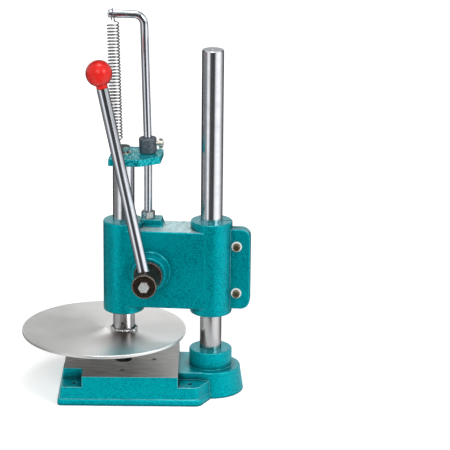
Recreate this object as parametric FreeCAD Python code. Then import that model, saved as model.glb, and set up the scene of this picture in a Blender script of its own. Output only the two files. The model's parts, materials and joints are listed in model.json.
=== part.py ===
import FreeCAD, Part
import math
import os

Vector = FreeCAD.Vector

# Further out than anything in the model, for cutters
far = 400.0

# Frame: the origin is the centre of the four bench holes on the underside, +Z up, +X towards the
# column. The head and all that it carries are drawn with the column's axis at x = 0 and y = 0 and
# with the ram on the -X side, then turned about the column and put in place.

# Base casting
bench_spacing_x = 160.0
bench_spacing_y = 112.0
bench_hole = 7.0
bench_pillar = 20.0
column_x = 108.0
table_left = -96.0
table_right = 63.5
table_half_depth = 71.3
table_height = 41.0
flange_half_depth = 76.0
flange_left = -103.0
flange_corner_x = 94.0
flange_right = 110.0
flange_right_half_depth = 44.0
flange_height = 9.5
flange_step = 2.0
flange_rounding = 3.6
wall_root = 8.3
side_draft = 2.7
pocket_floor = 26.0
pocket_back = 38.0
pocket_right = -69.0
pocket_corner = 5.0
neck_half_depth = 39.0
neck_height = 36.0
foot_radius = 46.5
ledge_radius = 41.3
socket_radius = 29.8
socket_height = 60.6
socket_floor = 5.0
cavity_wall = 9.0
cavity_left = -87.0
cavity_right = 70.0
cavity_half_depth = 63.0
deep_cavity_left = -60.0
deep_cavity_right = 54.0
deep_cavity_half_depth = 60.0
table_bore = 24.0
fixture_circle = 86.0
fixture_hole = 6.8
set_screw_z = 49.0
set_screw_radius = 4.0
set_screw_length = 12.0
set_screw_angles = [90.0, 30.0]

# Column
column_radius = 15.0
column_top = 488.2
bar_chamfer = 1.2
running_gap = 0.05
fit_gap = 0.02

# Head casting
head_turn = -4.74
ram_offset = 122.2
slab_half_depth = 28.0
slab_bottom = 124.7
slab_top = 235.6
ram_boss_radius = 28.5
ram_boss_bottom = 113.3
ram_boss_top = 243.5
column_boss_radius = 29.0
column_boss_bottom = 113.9
column_boss_top = 246.8
ear_reach = 54.5
ear_half_depth = 10.0
ear_bottom = 121.5
ear_top = 237.0
ear_corner = 13.0
clamp_slit = 3.0
clamp_x = 36.0
clamp_heights = [145.1, 212.7]
clamp_screw_radius = 3.0
clamp_screw_length = 20.0
clamp_head_radius = 5.0
clamp_head_height = 6.0
clamp_washer_radius = 7.2
clamp_washer_thickness = 1.6
pad_left = -99.0
pad_right = -70.0
pad_front = -5.0
pad_back = 19.0
pad_top = 245.5

# Rack and pinion
pinion_x = -82.5
pinion_z = 179.2
gear_module = 2.0
gear_teeth = 28
pressure_angle = 20.0
backlash = 0.3
gear_face = 20.0
gear_bore = 25.0
chamber_radius = 31.0
chamber_front = -11.0
key_width = 8.0
key_height = 7.0
key_depth = 4.0
rack_bottom = 158.0
rack_top = 238.0

# Pinion boss, shaft and bearings
boss_face = -46.5
boss_root_radius = 26.7
boss_face_radius = 23.4
bush_outer = 30.0
shaft_journal = 25.0
shaft_tail = 20.0
collar_radius = 19.8
collar_front = -53.0
shaft_head_radius = 17.0
shaft_head_rear = -54.5
shaft_head_front = -99.0
cover_radius = 40.0
cover_thickness = 8.0
cover_circle = 71.0
cover_hub_height = 12.0
cover_screw_radius = 2.5
cover_screw_length = 18.0
cover_head_radius = 4.25
cover_head_height = 5.0
rear_bush_radius = 13.0
rear_bush_start = 12.0
circlip_radius = 13.0
circlip_thickness = 1.2
circlip_groove_radius = 9.5

# Lever
lever_plane = -77.5
lever_angle = 12.2
lever_radius = 8.0
lever_length = 276.5
lever_tail = 9.0
lever_spigot_radius = 5.0
lever_spigot_length = 16.0
lock_bolt_radius = 4.0
lock_bolt_head = 13.0
lock_bolt_head_height = 5.3
knob_distance = 296.6
knob_radius = 18.0

# Ram, press plate and yoke
ram_radius = 15.0
plate_radius = 115.0
plate_thickness = 5.0
plate_top = 83.3
plate_offset = 28.2
spigot_radius = 8.0
yoke_top = 339.0
yoke_thickness = 10.0
washer_thickness = 1.5
yoke_bolt_radius = 5.0
yoke_bolt_depth = 26.0
yoke_bolt_head = 16.0
yoke_bolt_head_height = 6.4
yoke_bolt_room = 2.5
washer_radius = 10.5
pin_hole_z = 95.5
pin_hole_radius = 1.8
weld_foot = 4.0
weld_rise = 4.2

# Spring rod and stop collar
rod_radius = 5.5
rod_x = -88.8
rod_y = 6.0
rod_foot = 214.0
rod_bend_start = 334.0
rod_lean = 1.75
rod_arm_z = 532.3
rod_arm_end = -144.0
rod_corner = 14.0
rod_bend = 150.0
nut_size = 17.0
nut_turn = 21.7
nut_height = 10.0
relief_width = 1.8
relief_depth = 0.8
groove_x = -137.0
groove_radius = 5.0
groove_width = 5.6
stop_radius = 12.2
collar_gap = 0.7
stop_height = 20.6
wing_z = 352.5
wing_screw_radius = 2.95

# Return spring
spring_wire = 1.8
spring_radius = 7.85
spring_turns = 36.5
spring_top = 519.0
spring_bottom = 360.5
spring_lean = 9.6
tail_reach = 11.4


def cylinder(radius, start, end):
    axis = end - start
    return Part.makeCylinder(radius, axis.Length, start, axis)


def cone(start_radius, end_radius, start, end):
    axis = end - start
    return Part.makeCone(start_radius, end_radius, axis.Length, start, axis)


def box(x_range, y_range, z_range):
    size = [high - low for low, high in (x_range, y_range, z_range)]
    corner = Vector(x_range[0], y_range[0], z_range[0])
    return Part.makeBox(size[0], size[1], size[2], corner)


def outline(corners, z):
    """Closed wire through corners given as (x, y, radius), with an arc at each rounded corner."""
    points = [Vector(x, y, z) for x, y, radius in corners]
    radii = [radius for x, y, radius in corners]
    count = len(points)
    starts = []
    ends = []
    middles = []
    for index in range(count):
        here = points[index]
        back = (points[index - 1] - here).normalize()
        ahead = (points[(index + 1) % count] - here).normalize()
        half_angle = back.getAngle(ahead) / 2
        reach = radii[index] / math.tan(half_angle)
        bisector = (back + ahead).normalize()
        inset = radii[index] / math.sin(half_angle) - radii[index]
        starts.append(here + back * reach)
        middles.append(here + bisector * inset)
        ends.append(here + ahead * reach)
    edges = []
    for index in range(count):
        if radii[index] > 0:
            edges.append(Part.Arc(starts[index], middles[index], ends[index]).toShape())
        edges.append(Part.LineSegment(ends[index], starts[(index + 1) % count]).toShape())
    return Part.Wire(edges)


def prism(corners, bottom, top):
    face = Part.Face(outline(corners, bottom))
    return face.extrude(Vector(0, 0, top - bottom))


def frustum(bottom_corners, bottom, top_corners, top):
    wires = [outline(bottom_corners, bottom), outline(top_corners, top)]
    return Part.makeLoft(wires, True, True)


def hexagon(across_flats, start, end, turn=0.0):
    """Hexagonal bar from start to end, turned about its own axis."""
    axis = end - start
    reach = across_flats / math.sqrt(3)
    corners = []
    for index in range(6):
        angle = math.radians(60 * index + turn)
        corners.append(Vector(reach * math.cos(angle), reach * math.sin(angle), 0))
    bar = Part.Face(Part.makePolygon(corners + corners[:1])).extrude(Vector(0, 0, axis.Length))
    bar.Placement = FreeCAD.Placement(start, FreeCAD.Rotation(Vector(0, 0, 1), axis))
    return bar


def hex_head(across_flats, start, end, turn=0.0):
    """Hexagonal head whose far corners are turned down to a cone."""
    head = hexagon(across_flats, start, end, turn)
    axis = (end - start).normalize()
    height = (end - start).Length
    rim = across_flats * 0.62
    drop = 0.35 * (rim - across_flats * 0.48)
    tip = cone(rim, across_flats * 0.48, end - axis * drop, end)
    body = cylinder(rim, start, start + axis * (height - drop))
    return head.common(body.fuse(tip))


def fillet_where(shape, radius, wanted):
    edges = [edge for edge in shape.Edges if wanted(edge)]
    return shape.makeFillet(radius, edges)


def in_head(shape):
    """Turn a shape from the head's own frame into the part's frame."""
    placed = shape.copy()
    placed.rotate(Vector(0, 0, 0), Vector(0, 0, 1), head_turn)
    placed.translate(Vector(column_x, 0, 0))
    return placed


# Base

def flange_corners(inset):
    left = flange_left + inset
    front = flange_half_depth - inset
    corner = flange_corner_x - inset
    right = flange_right - inset
    side = flange_right_half_depth
    return [(left, -front, 6.0), (corner, -front, 12.0), (right, -side, 0.0),
            (right, side, 0.0), (corner, front, 12.0), (left, front, 6.0)]


def table_corners(inset):
    left = table_left - 1.5 * inset
    front = table_half_depth + inset
    right = column_x
    return [(left, -front, 4.0), (right, -front, 4.0), (right, front, 4.0), (left, front, 4.0)]


def base_body():
    """Outside of the casting, before pockets and holes."""
    skirt = prism(flange_corners(0.0), 0.0, flange_height)
    rim = [edge for edge in skirt.Edges if abs(edge.CenterOfMass.z - flange_height) < 0.01]
    skirt = skirt.makeFillet(flange_rounding, rim)
    floor_share = (table_height - pocket_floor) / (table_height - wall_root)
    table = frustum(table_corners(side_draft), wall_root, table_corners(0.0), table_height)
    table = table.common(box((-far, table_right), (-far, far), (0, far)))
    shelf = frustum(flange_corners(flange_step), wall_root,
                    flange_corners(flange_step + side_draft * (1 - floor_share)), pocket_floor)
    shelf = shelf.common(box((0, far), (-far, far), (0, far)))
    axis_foot = Vector(column_x, 0, 0)
    foot = cone(foot_radius, ledge_radius, axis_foot, axis_foot + Vector(0, 0, neck_height))
    neck = box((table_right - 5, column_x), (-neck_half_depth, neck_half_depth), (0, neck_height))
    body = skirt.fuse([table, shelf, neck, foot])
    return body.removeSplitter()


def corner_pocket(side_x, side_y):
    """Cutter for a left-hand bolt pocket; side_y is -1 at the front and 1 at the back."""
    back = side_y * pocket_back
    front = side_y * far
    corners = [(-far, back, 0.0), (side_x, back, pocket_corner), (side_x, front, 0.0), (-far, front, 0.0)]
    return prism(corners, pocket_floor, far)


def hollow(left, right, half_depth, roof):
    corners = [(left, -half_depth, pocket_corner), (right, -half_depth, pocket_corner),
               (right, half_depth, pocket_corner), (left, half_depth, pocket_corner)]
    return prism(corners, -1.0, roof)


def base_cavity():
    """Hollow underneath: low under the pockets, higher under the table."""
    low = hollow(cavity_left, cavity_right, cavity_half_depth, pocket_floor - cavity_wall)
    high = hollow(deep_cavity_left, deep_cavity_right, deep_cavity_half_depth,
                  table_height - cavity_wall)
    return low.fuse(high)


def bench_places():
    places = []
    for side_x in (-1, 1):
        for side_y in (-1, 1):
            places.append(Vector(side_x * bench_spacing_x / 2, side_y * bench_spacing_y / 2, 0))
    return places


def fixture_places():
    centre = Vector(column_x - ram_offset, 0, 0)
    places = []
    for index in range(4):
        angle = math.radians(90 * index)
        places.append(centre + Vector(math.cos(angle), math.sin(angle), 0) * (fixture_circle / 2))
    return places


def set_screw_directions():
    angles = [math.radians(angle) for angle in set_screw_angles]
    return [Vector(math.cos(angle), math.sin(angle), 0) for angle in angles]


def make_base():
    body = base_body()
    for side_y in (-1, 1):
        body = body.cut(corner_pocket(pocket_right, side_y))
    up = Vector(0, 0, 1)
    axis_foot = Vector(column_x, 0, 0)
    socket = cylinder(socket_radius, axis_foot, axis_foot + up * socket_height)
    body = body.fuse(socket).removeSplitter()

    def soft_edge(edge):
        middle = edge.CenterOfMass
        level = [socket_height, neck_height, 0.0]
        flat = edge.BoundBox.ZLength < 0.01
        ring = edge.Curve.TypeId == "Part::GeomCircle" and edge.Curve.Radius > column_radius * 1.5
        return flat and ring and any(abs(middle.z - z) < 0.01 for z in level)

    body = fillet_where(body, 1.5, soft_edge)
    cavity = base_cavity()
    for place in bench_places():
        cavity = cavity.cut(cylinder(bench_pillar / 2, place - up * far, place + up * far))
    body = body.cut(cavity)
    bore_place = Vector(column_x - ram_offset, 0, 0)
    body = body.cut(cylinder(table_bore / 2, bore_place, bore_place + up * far))
    for place in bench_places():
        body = body.cut(cylinder(bench_hole / 2, place - up, place + up * far))
    for place in fixture_places():
        body = body.cut(cylinder(fixture_hole / 2, place, place + up * far))
    body = body.cut(cylinder(column_radius + running_gap, axis_foot + up * socket_floor,
                             axis_foot + up * far))
    screw_centre = axis_foot + up * set_screw_z
    for direction in set_screw_directions():
        body = body.cut(cylinder(set_screw_radius + running_gap, screw_centre,
                                 screw_centre + direction * foot_radius))
    return body


def make_column():
    foot = Vector(column_x, 0, socket_floor)
    bar = cylinder(column_radius, foot, Vector(column_x, 0, column_top))
    return bar.makeChamfer(bar_chamfer, [edge for edge in bar.Edges if edge.BoundBox.ZLength < 0.01])


def make_column_set_screws():
    screws = []
    for direction in set_screw_directions():
        tip = Vector(column_x, 0, set_screw_z) + direction * (column_radius + 0.2)
        end = tip + direction * set_screw_length
        screw = cylinder(set_screw_radius, tip, end)
        key = hexagon(set_screw_radius, end - direction * set_screw_radius, end + direction)
        screws.append(screw.cut(key))
    return Part.makeCompound(screws)


# Head casting and its fasteners

def pinion_point(y):
    return Vector(pinion_x, y, pinion_z)


def clamp_ear():
    corners = [(0.0, ear_bottom, 0.0), (ear_reach, ear_bottom, ear_corner),
               (ear_reach, ear_top, ear_corner), (0.0, ear_top, 0.0)]
    ear = prism(corners, -ear_half_depth, ear_half_depth)
    ear.rotate(Vector(0, 0, 0), Vector(1, 0, 0), 90)
    return fillet_where(ear, 2.0, lambda edge: edge.CenterOfMass.x > 1 and edge.BoundBox.YLength < 0.01)


def rod_pad():
    top = [(pad_left, pad_front, 2.0), (pad_right, pad_front, 2.0),
           (pad_right, pad_back, 2.0), (pad_left, pad_back, 2.0)]
    flare = 3.0
    foot = [(pad_left - flare, pad_front - 1, 2.0), (pad_right + flare, pad_front - 1, 2.0),
            (pad_right + flare, pad_back + 1, 2.0), (pad_left - flare, pad_back + 1, 2.0)]
    return frustum(foot, slab_top - 1, top, pad_top)


def boss_cylinder(radius, x, bottom, top):
    boss = cylinder(radius, Vector(x, 0, bottom), Vector(x, 0, top))
    return fillet_where(boss, 1.8, lambda edge: edge.BoundBox.ZLength < 0.01)


def head_body():
    """Outside of the head casting, with its edges rounded."""
    slab = box((-ram_offset, 0), (-slab_half_depth, slab_half_depth), (slab_bottom, slab_top))
    slab = fillet_where(slab, 2.0, lambda edge: edge.BoundBox.XLength > 50)
    ram_boss = boss_cylinder(ram_boss_radius, -ram_offset, ram_boss_bottom, ram_boss_top)
    column_boss = boss_cylinder(column_boss_radius, 0, column_boss_bottom, column_boss_top)
    boss = cone(boss_root_radius, boss_face_radius, pinion_point(-slab_half_depth),
                pinion_point(boss_face))
    boss = fillet_where(boss, 1.2, lambda edge: edge.CenterOfMass.y < boss_face + 0.1)
    slab = slab.fuse([boss, rod_pad()])

    def root_edge(edge):
        centre = edge.CenterOfMass
        ring = edge.Curve.TypeId == "Part::GeomCircle"
        close = (centre - pinion_point(-slab_half_depth)).Length < 0.5
        pad = abs(centre.z - slab_top) < 0.01 and edge.BoundBox.ZLength < 0.01
        on_pad = pad and pad_left - 6 < centre.x < pad_right + 6 and abs(centre.y) < 22
        return (ring and close) or on_pad

    slab = fillet_where(slab, 3.5, root_edge)
    return slab.fuse([ram_boss, column_boss, clamp_ear()]).removeSplitter()


def make_head():
    body = head_body()
    up = Vector(0, 0, 1)
    ram_axis = Vector(-ram_offset, 0, 0)
    cutters = [
        cylinder(ram_radius + running_gap, ram_axis, ram_axis + up * far),
        cylinder(column_radius + running_gap, Vector(0, 0, 0), up * far),
        box((column_radius / 2, far), (-clamp_slit / 2, clamp_slit / 2), (0, far)),
        cylinder(chamber_radius, pinion_point(chamber_front), pinion_point(far)),
        cylinder(cover_radius + 0.4, pinion_point(slab_half_depth), pinion_point(far)),
        cylinder(bush_outer / 2, pinion_point(-far), pinion_point(0)),
        cylinder(rod_radius + fit_gap, Vector(rod_x, rod_y, rod_foot - 1), Vector(rod_x, rod_y, far)),
    ]
    for height in clamp_heights:
        middle = Vector(clamp_x, 0, height)
        reach = Vector(0, ear_half_depth * 2, 0)
        cutters.append(cylinder(clamp_screw_radius + 0.3, middle - reach, middle))
        cutters.append(cylinder(clamp_screw_radius + fit_gap, middle, middle + reach))
    for place in cover_screw_places():
        tip = slab_half_depth + cover_thickness - cover_screw_length - 4
        cutters.append(cylinder(cover_screw_radius + fit_gap, place + Vector(0, tip, 0),
                                place + Vector(0, slab_half_depth * 2, 0)))
    for cutter in cutters:
        body = body.cut(cutter)
    return body


def make_clamp_screws():
    screws = []
    for height in clamp_heights:
        seat = Vector(clamp_x, -ear_half_depth - clamp_washer_thickness, height)
        face = seat - Vector(0, clamp_head_height, 0)
        head = cylinder(clamp_head_radius, seat, face)
        rim = [edge for edge in head.Edges if abs(edge.CenterOfMass.y - face.y) < 0.01]
        head = head.makeChamfer(0.6, rim)
        head = head.cut(hexagon(clamp_head_radius, (seat + face) * 0.5, face - Vector(0, 1, 0)))
        shank = cylinder(clamp_screw_radius, seat, seat + Vector(0, clamp_screw_length, 0))
        screws.append(head.fuse(shank).removeSplitter())
    return Part.makeCompound(screws)


def make_clamp_washers():
    washers = []
    for height in clamp_heights:
        seat = Vector(clamp_x, -ear_half_depth, height)
        depth = Vector(0, clamp_washer_thickness, 0)
        ring = cylinder(clamp_washer_radius, seat, seat - depth)
        washers.append(ring.cut(cylinder(clamp_screw_radius + 0.2, seat + depth, seat - depth * 2)))
    return Part.makeCompound(washers)


def cover_screw_places():
    places = []
    for index in range(4):
        angle = math.radians(45 + 90 * index)
        reach = cover_circle / 2
        places.append(Vector(pinion_x + reach * math.cos(angle), 0, pinion_z + reach * math.sin(angle)))
    return places


def make_rear_cover():
    seat = slab_half_depth
    cover = cylinder(cover_radius, pinion_point(seat), pinion_point(seat + cover_thickness))
    outer = [edge for edge in cover.Edges if edge.CenterOfMass.y > seat + cover_thickness - 1]
    cover = cover.makeFillet(1.5, outer)
    spigot = cylinder(chamber_radius - 0.1, pinion_point(seat), pinion_point(rear_bush_start))
    hub = cone(rear_bush_radius + 6, rear_bush_radius + 4, pinion_point(seat + cover_thickness - 0.5),
               pinion_point(seat + cover_hub_height))
    cover = cover.fuse([spigot, hub]).removeSplitter()
    cover = cover.cut(cylinder(rear_bush_radius, pinion_point(0), pinion_point(far)))
    for place in cover_screw_places():
        cover = cover.cut(cylinder(cover_screw_radius + 0.25, place, place + Vector(0, far, 0)))
    # The spigot stays clear of the ram
    ram_side = box((-far, -ram_offset + ram_radius - 0.8), (-far, seat - 0.1), (0, far))
    return cover.cut(ram_side)


def make_cover_screws():
    screws = []
    for place in cover_screw_places():
        seat = place + Vector(0, slab_half_depth + cover_thickness, 0)
        face = seat + Vector(0, cover_head_height, 0)
        head = cylinder(cover_head_radius, seat, face)
        head = head.cut(hexagon(4.0, (seat + face) * 0.5, face + Vector(0, 1, 0)))
        shank = cylinder(cover_screw_radius, seat, seat - Vector(0, cover_screw_length, 0))
        screws.append(head.fuse(shank).removeSplitter())
    return Part.makeCompound(screws)


def make_front_bush():
    bush = cylinder(bush_outer / 2, pinion_point(boss_face), pinion_point(chamber_front))
    return bush.cut(cylinder(shaft_journal / 2 + running_gap, pinion_point(-far), pinion_point(far)))


def make_rear_bush():
    end = slab_half_depth + cover_hub_height
    bush = cylinder(rear_bush_radius, pinion_point(rear_bush_start), pinion_point(end))
    return bush.cut(cylinder(shaft_tail / 2 + running_gap, pinion_point(-far), pinion_point(far)))


# Ram, press plate and yoke

def rack_teeth():
    """Cutter for the rack: a flat down to the tooth tips, then one gap for each tooth."""
    pitch = math.pi * gear_module
    pitch_x = pinion_x - gear_module * gear_teeth / 2
    tip_x = pitch_x + gear_module
    root_x = pitch_x - 1.25 * gear_module
    slope = math.tan(math.radians(pressure_angle))
    half_gap = pitch / 4 + backlash / 4
    half_width = ram_radius + 5
    cutter = box((tip_x, tip_x + half_width), (-half_width, half_width), (rack_bottom, rack_top))
    first = math.ceil((rack_bottom + 4 - pinion_z) / pitch)
    last = math.floor((rack_top - 4 - pinion_z) / pitch)
    for index in range(first, last + 1):
        middle = pinion_z + index * pitch
        wide = half_gap + (gear_module + 0.5) * slope
        narrow = half_gap - 1.25 * gear_module * slope
        side = -half_width
        points = [Vector(tip_x + 0.5, side, middle - wide), Vector(root_x, side, middle - narrow),
                  Vector(root_x, side, middle + narrow), Vector(tip_x + 0.5, side, middle + wide)]
        face = Part.Face(Part.makePolygon(points + points[:1]))
        gap = face.extrude(Vector(0, 2 * half_width, 0))
        cutter = cutter.fuse(gap)
    return cutter


def ram_point(z):
    return Vector(-ram_offset, 0, z)


def make_ram():
    top = yoke_top - yoke_thickness
    bar = cylinder(ram_radius, ram_point(plate_top), ram_point(top))
    bar = bar.fuse(cylinder(spigot_radius, ram_point(plate_top - plate_thickness), ram_point(plate_top)))
    bar = bar.removeSplitter()
    bar = bar.cut(rack_teeth())
    thread_end = ram_point(top - yoke_bolt_depth - 2)
    bar = bar.cut(cylinder(yoke_bolt_radius + fit_gap, thread_end, ram_point(far)))
    pin_hole = ram_point(pin_hole_z)
    across = Vector(0, ram_radius * 2, 0)
    return bar.cut(cylinder(pin_hole_radius, pin_hole - across, pin_hole + across))


def make_press_plate():
    centre = Vector(-ram_offset - plate_offset, 0, plate_top)
    drop = Vector(0, 0, plate_thickness)
    disc = cylinder(plate_radius, centre - drop, centre)
    disc = disc.makeFillet(1.2, [edge for edge in disc.Edges if edge.BoundBox.ZLength < 0.01])
    return disc.cut(cylinder(spigot_radius + running_gap, ram_point(0), ram_point(far)))


def make_weld_bead():
    inner = ram_radius + fit_gap
    points = [Vector(inner, 0, plate_top), Vector(inner + weld_foot, 0, plate_top),
              Vector(inner + weld_foot * 0.67, 0, plate_top + weld_rise * 0.62),
              Vector(inner, 0, plate_top + weld_rise)]
    edges = [Part.LineSegment(points[0], points[1]).toShape(),
             Part.Arc(points[1], points[2], points[3]).toShape(),
             Part.LineSegment(points[3], points[0]).toShape()]
    bead = Part.Face(Part.Wire(edges)).revolve(Vector(0, 0, 0), Vector(0, 0, 1), 360)
    bead.translate(Vector(-ram_offset, 0, 0))
    return bead


def make_yoke_plate():
    left = -ram_offset - 17.3
    bend = -ram_offset + 25.7
    right = rod_x + 19.3
    corners = [(left, -34.5, 1.5), (bend, -34.5, 4.0), (right, rod_y - 20, 3.0),
               (right, rod_y + 20, 3.0), (bend, 34.5, 4.0), (left, 34.5, 1.5)]
    plate = prism(corners, yoke_top - yoke_thickness, yoke_top)
    plate = plate.makeFillet(1.0, [edge for edge in plate.Edges if edge.BoundBox.ZLength < 0.01])
    plate = plate.cut(cylinder(yoke_bolt_radius + 0.3, ram_point(0), ram_point(far)))
    return plate.cut(cylinder(rod_radius + 0.6, Vector(rod_x, rod_y, 0), Vector(rod_x, rod_y, far)))


def make_yoke_bolt():
    """The bolt's head stands off the washer, because the spring's ring lies round its shank."""
    seat = yoke_top + washer_thickness + yoke_bolt_room
    head = hex_head(yoke_bolt_head, ram_point(seat), ram_point(seat + yoke_bolt_head_height), 30.0)
    tip = ram_point(yoke_top - yoke_thickness - yoke_bolt_depth)
    return head.fuse(cylinder(yoke_bolt_radius, tip, ram_point(seat))).removeSplitter()


def make_yoke_washer():
    ring = cylinder(washer_radius, ram_point(yoke_top), ram_point(yoke_top + washer_thickness))
    return ring.cut(cylinder(yoke_bolt_radius + 0.25, ram_point(0), ram_point(far)))


# Spring rod, collar and spring

def lean_point(z):
    """Point on the rod's leaning upper part."""
    shift = math.tan(math.radians(rod_lean)) * (z - rod_bend_start)
    return Vector(rod_x - shift, rod_y, z)


def rounded_path(points, radii):
    """Wire of straight runs joined by tangent arcs, one radius for each inner point."""
    edges = []
    here = points[0]
    for index, radius in enumerate(radii):
        corner = points[index + 1]
        back = (points[index] - corner).normalize()
        ahead = (points[index + 2] - corner).normalize()
        half_angle = back.getAngle(ahead) / 2
        reach = radius / math.tan(half_angle)
        bisector = (back + ahead).normalize()
        middle = corner + bisector * (radius / math.sin(half_angle) - radius)
        edges.append(Part.LineSegment(here, corner + back * reach).toShape())
        edges.append(Part.Arc(corner + back * reach, middle, corner + ahead * reach).toShape())
        here = corner + ahead * reach
    edges.append(Part.LineSegment(here, points[-1]).toShape())
    return Part.Wire(edges)


def tube_along(wire, radius, start, direction):
    circle = Part.Wire([Part.makeCircle(radius, start, direction)])
    return wire.makePipeShell([circle], True, False)


def make_spring_rod():
    foot = Vector(rod_x, rod_y, rod_foot)
    elbow = lean_point(rod_arm_z)
    end = Vector(rod_arm_end, rod_y, rod_arm_z)
    path = rounded_path([foot, lean_point(rod_bend_start), elbow, end], [rod_bend, rod_corner])
    rod = tube_along(path, rod_radius, foot, Vector(0, 0, 1))
    groove = Vector(groove_x, rod_y, rod_arm_z)
    reach = Vector(groove_width / 2, 0, 0)
    ring = cylinder(rod_radius + 2, groove - reach, groove + reach)
    core = cylinder(groove_radius, groove - reach * 1.5, groove + reach * 1.5)
    rod = rod.cut(ring.cut(core))
    relief = Vector(rod_x, rod_y, pad_top + nut_height + 0.5)
    rise = Vector(0, 0, relief_width)
    ring = cylinder(rod_radius + 2, relief, relief + rise)
    core = cylinder(rod_radius - relief_depth, relief - rise, relief + rise * 2)
    return rod.cut(ring.cut(core))


def make_rod_nut():
    seat = Vector(rod_x, rod_y, pad_top)
    nut = hex_head(nut_size, seat, seat + Vector(0, 0, nut_height), nut_turn)
    return nut.cut(cylinder(rod_radius + fit_gap, Vector(rod_x, rod_y, 0), Vector(rod_x, rod_y, far)))


def collar_axis():
    return (lean_point(500) - lean_point(400)).normalize()


def make_stop_collar():
    axis = collar_axis()
    foot = lean_point(yoke_top + collar_gap)
    collar = cylinder(stop_radius, foot, foot + axis * stop_height)
    collar = collar.makeChamfer(0.8, [edge for edge in collar.Edges if edge.Closed])
    collar = collar.cut(cylinder(rod_radius + 0.3, foot - axis * stop_height, foot + axis * far))
    wing = lean_point(wing_z)
    return collar.cut(cylinder(wing_screw_radius + 0.07, wing, wing + Vector(far, 0, 0)))


def make_wing_screw():
    start = lean_point(wing_z) + Vector(rod_radius + 0.4, 0, 0)
    neck = lean_point(wing_z) + Vector(stop_radius + 2.6, 0, 0)
    shank = cylinder(wing_screw_radius, start, neck)
    hub = cone(4.6, 3.8, neck, neck + Vector(6.6, 0, 0))
    screw = shank.fuse(hub)
    for side in (-1, 1):
        corners = [(0.4, 2.0 * side, 0.0), (0.9, 7.1 * side, 0.0), (6.6, 7.1 * side, 2.6),
                   (6.0, 2.0 * side, 0.0)]
        wing = prism(corners, -1.1, 1.1)
        wing.rotate(Vector(0, 0, 0), Vector(1, 0, 0), 90)
        wing.translate(neck)
        screw = screw.fuse(wing)
    return screw.removeSplitter()


def biarc(start, start_way, end, end_way):
    """Two arcs that join two points and follow the direction given at each."""
    span = end - start
    ways = start_way + end_way
    bend = 2 * (1 - start_way.dot(end_way))
    along = span.dot(ways)
    reach = (math.sqrt(along * along + bend * span.dot(span)) - along) / bend
    first = start + start_way * reach
    second = end - end_way * reach
    join = (first + second) * 0.5
    return [corner_arc(start, first, join), corner_arc(join, second, end)]


def corner_arc(start, corner, end):
    """Arc from start to end that is tangent to the lines through the corner."""
    base = (start + end) * 0.5
    half = (end - start).Length / 2
    rise = (corner - base).Length
    sagitta = half * math.tan(math.atan2(rise, half) / 2)
    return Part.Arc(start, base + (corner - base).normalize() * sagitta, end).toShape()


def coil_frame():
    """Foot of the coil's axis, its direction and length, and two directions square to it."""
    foot = Vector(-ram_offset - spring_lean, 0.0, spring_bottom)
    head = Vector(groove_x, rod_y, spring_top)
    height = (head - foot).Length
    axis = (head - foot).normalize()
    side = (Vector(1, 0, 0) - axis * axis.x).normalize()
    return foot, axis, height, side, axis.cross(side)


def coil_states():
    """Points and directions of the wire at each half turn of the coil, from the bottom up."""
    foot, axis, height, side, across = coil_frame()
    states = []
    steps = int(spring_turns * 2)
    rate = height / (2 * math.pi * spring_turns)
    for index in range(steps + 1):
        angle = math.pi * index
        out = side * math.cos(angle) + across * math.sin(angle)
        ahead = across * math.cos(angle) - side * math.sin(angle)
        point = foot + axis * (height * index / steps) + out * spring_radius
        states.append((point, (ahead * spring_radius + axis * rate).normalize()))
    return states


def hook_states():
    """The ring over the arm: up its front, over the top, down its back and partly under it."""
    ring = groove_radius + spring_wire / 2 + 0.5
    centre = Vector(groove_x, rod_y, rod_arm_z)
    states = []
    for index, angle in enumerate([180, 90, 0, -70]):
        angle = math.radians(angle)
        out = Vector(0, math.cos(angle), math.sin(angle))
        ahead = Vector(-0.12, math.sin(angle), -math.cos(angle))
        shift = Vector(1.35 - 0.9 * index, 0, 0)
        states.append((centre + shift + out * ring, ahead.normalize()))
    return states


def tail_states():
    """The ring round the bolt's shank, from its free end, then the rise beside the bolt's head."""
    height = yoke_top + washer_thickness + spring_wire / 2 + 0.3
    ring = yoke_bolt_radius + spring_wire / 2 + 0.5
    states = []
    for angle in [160, 75, -10, -105]:
        angle = math.radians(angle)
        out = Vector(math.cos(angle), math.sin(angle), 0)
        states.append((ram_point(height) + out * ring, Vector(math.sin(angle), -math.cos(angle), 0)))
    beside = ram_point(height + 0.2) + Vector(-tail_reach + 2.4, -4.9, 0)
    risen = ram_point(height + 6.5) + Vector(-tail_reach, -2.8, 0)
    states.append((beside, Vector(-0.93, 0.3, 0.2).normalize()))
    states.append((risen, Vector(0.05, 0, 1).normalize()))
    return states


def make_return_spring():
    states = tail_states() + coil_states() + hook_states()
    edges = []
    for index in range(len(states) - 1):
        start, start_way = states[index]
        end, end_way = states[index + 1]
        edges.extend(biarc(start, start_way, end, end_way))
    wire = Part.Wire(edges)
    spring = tube_along(wire, spring_wire / 2, states[0][0], states[0][1])
    report_wire(wire, spring)
    return spring


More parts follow.
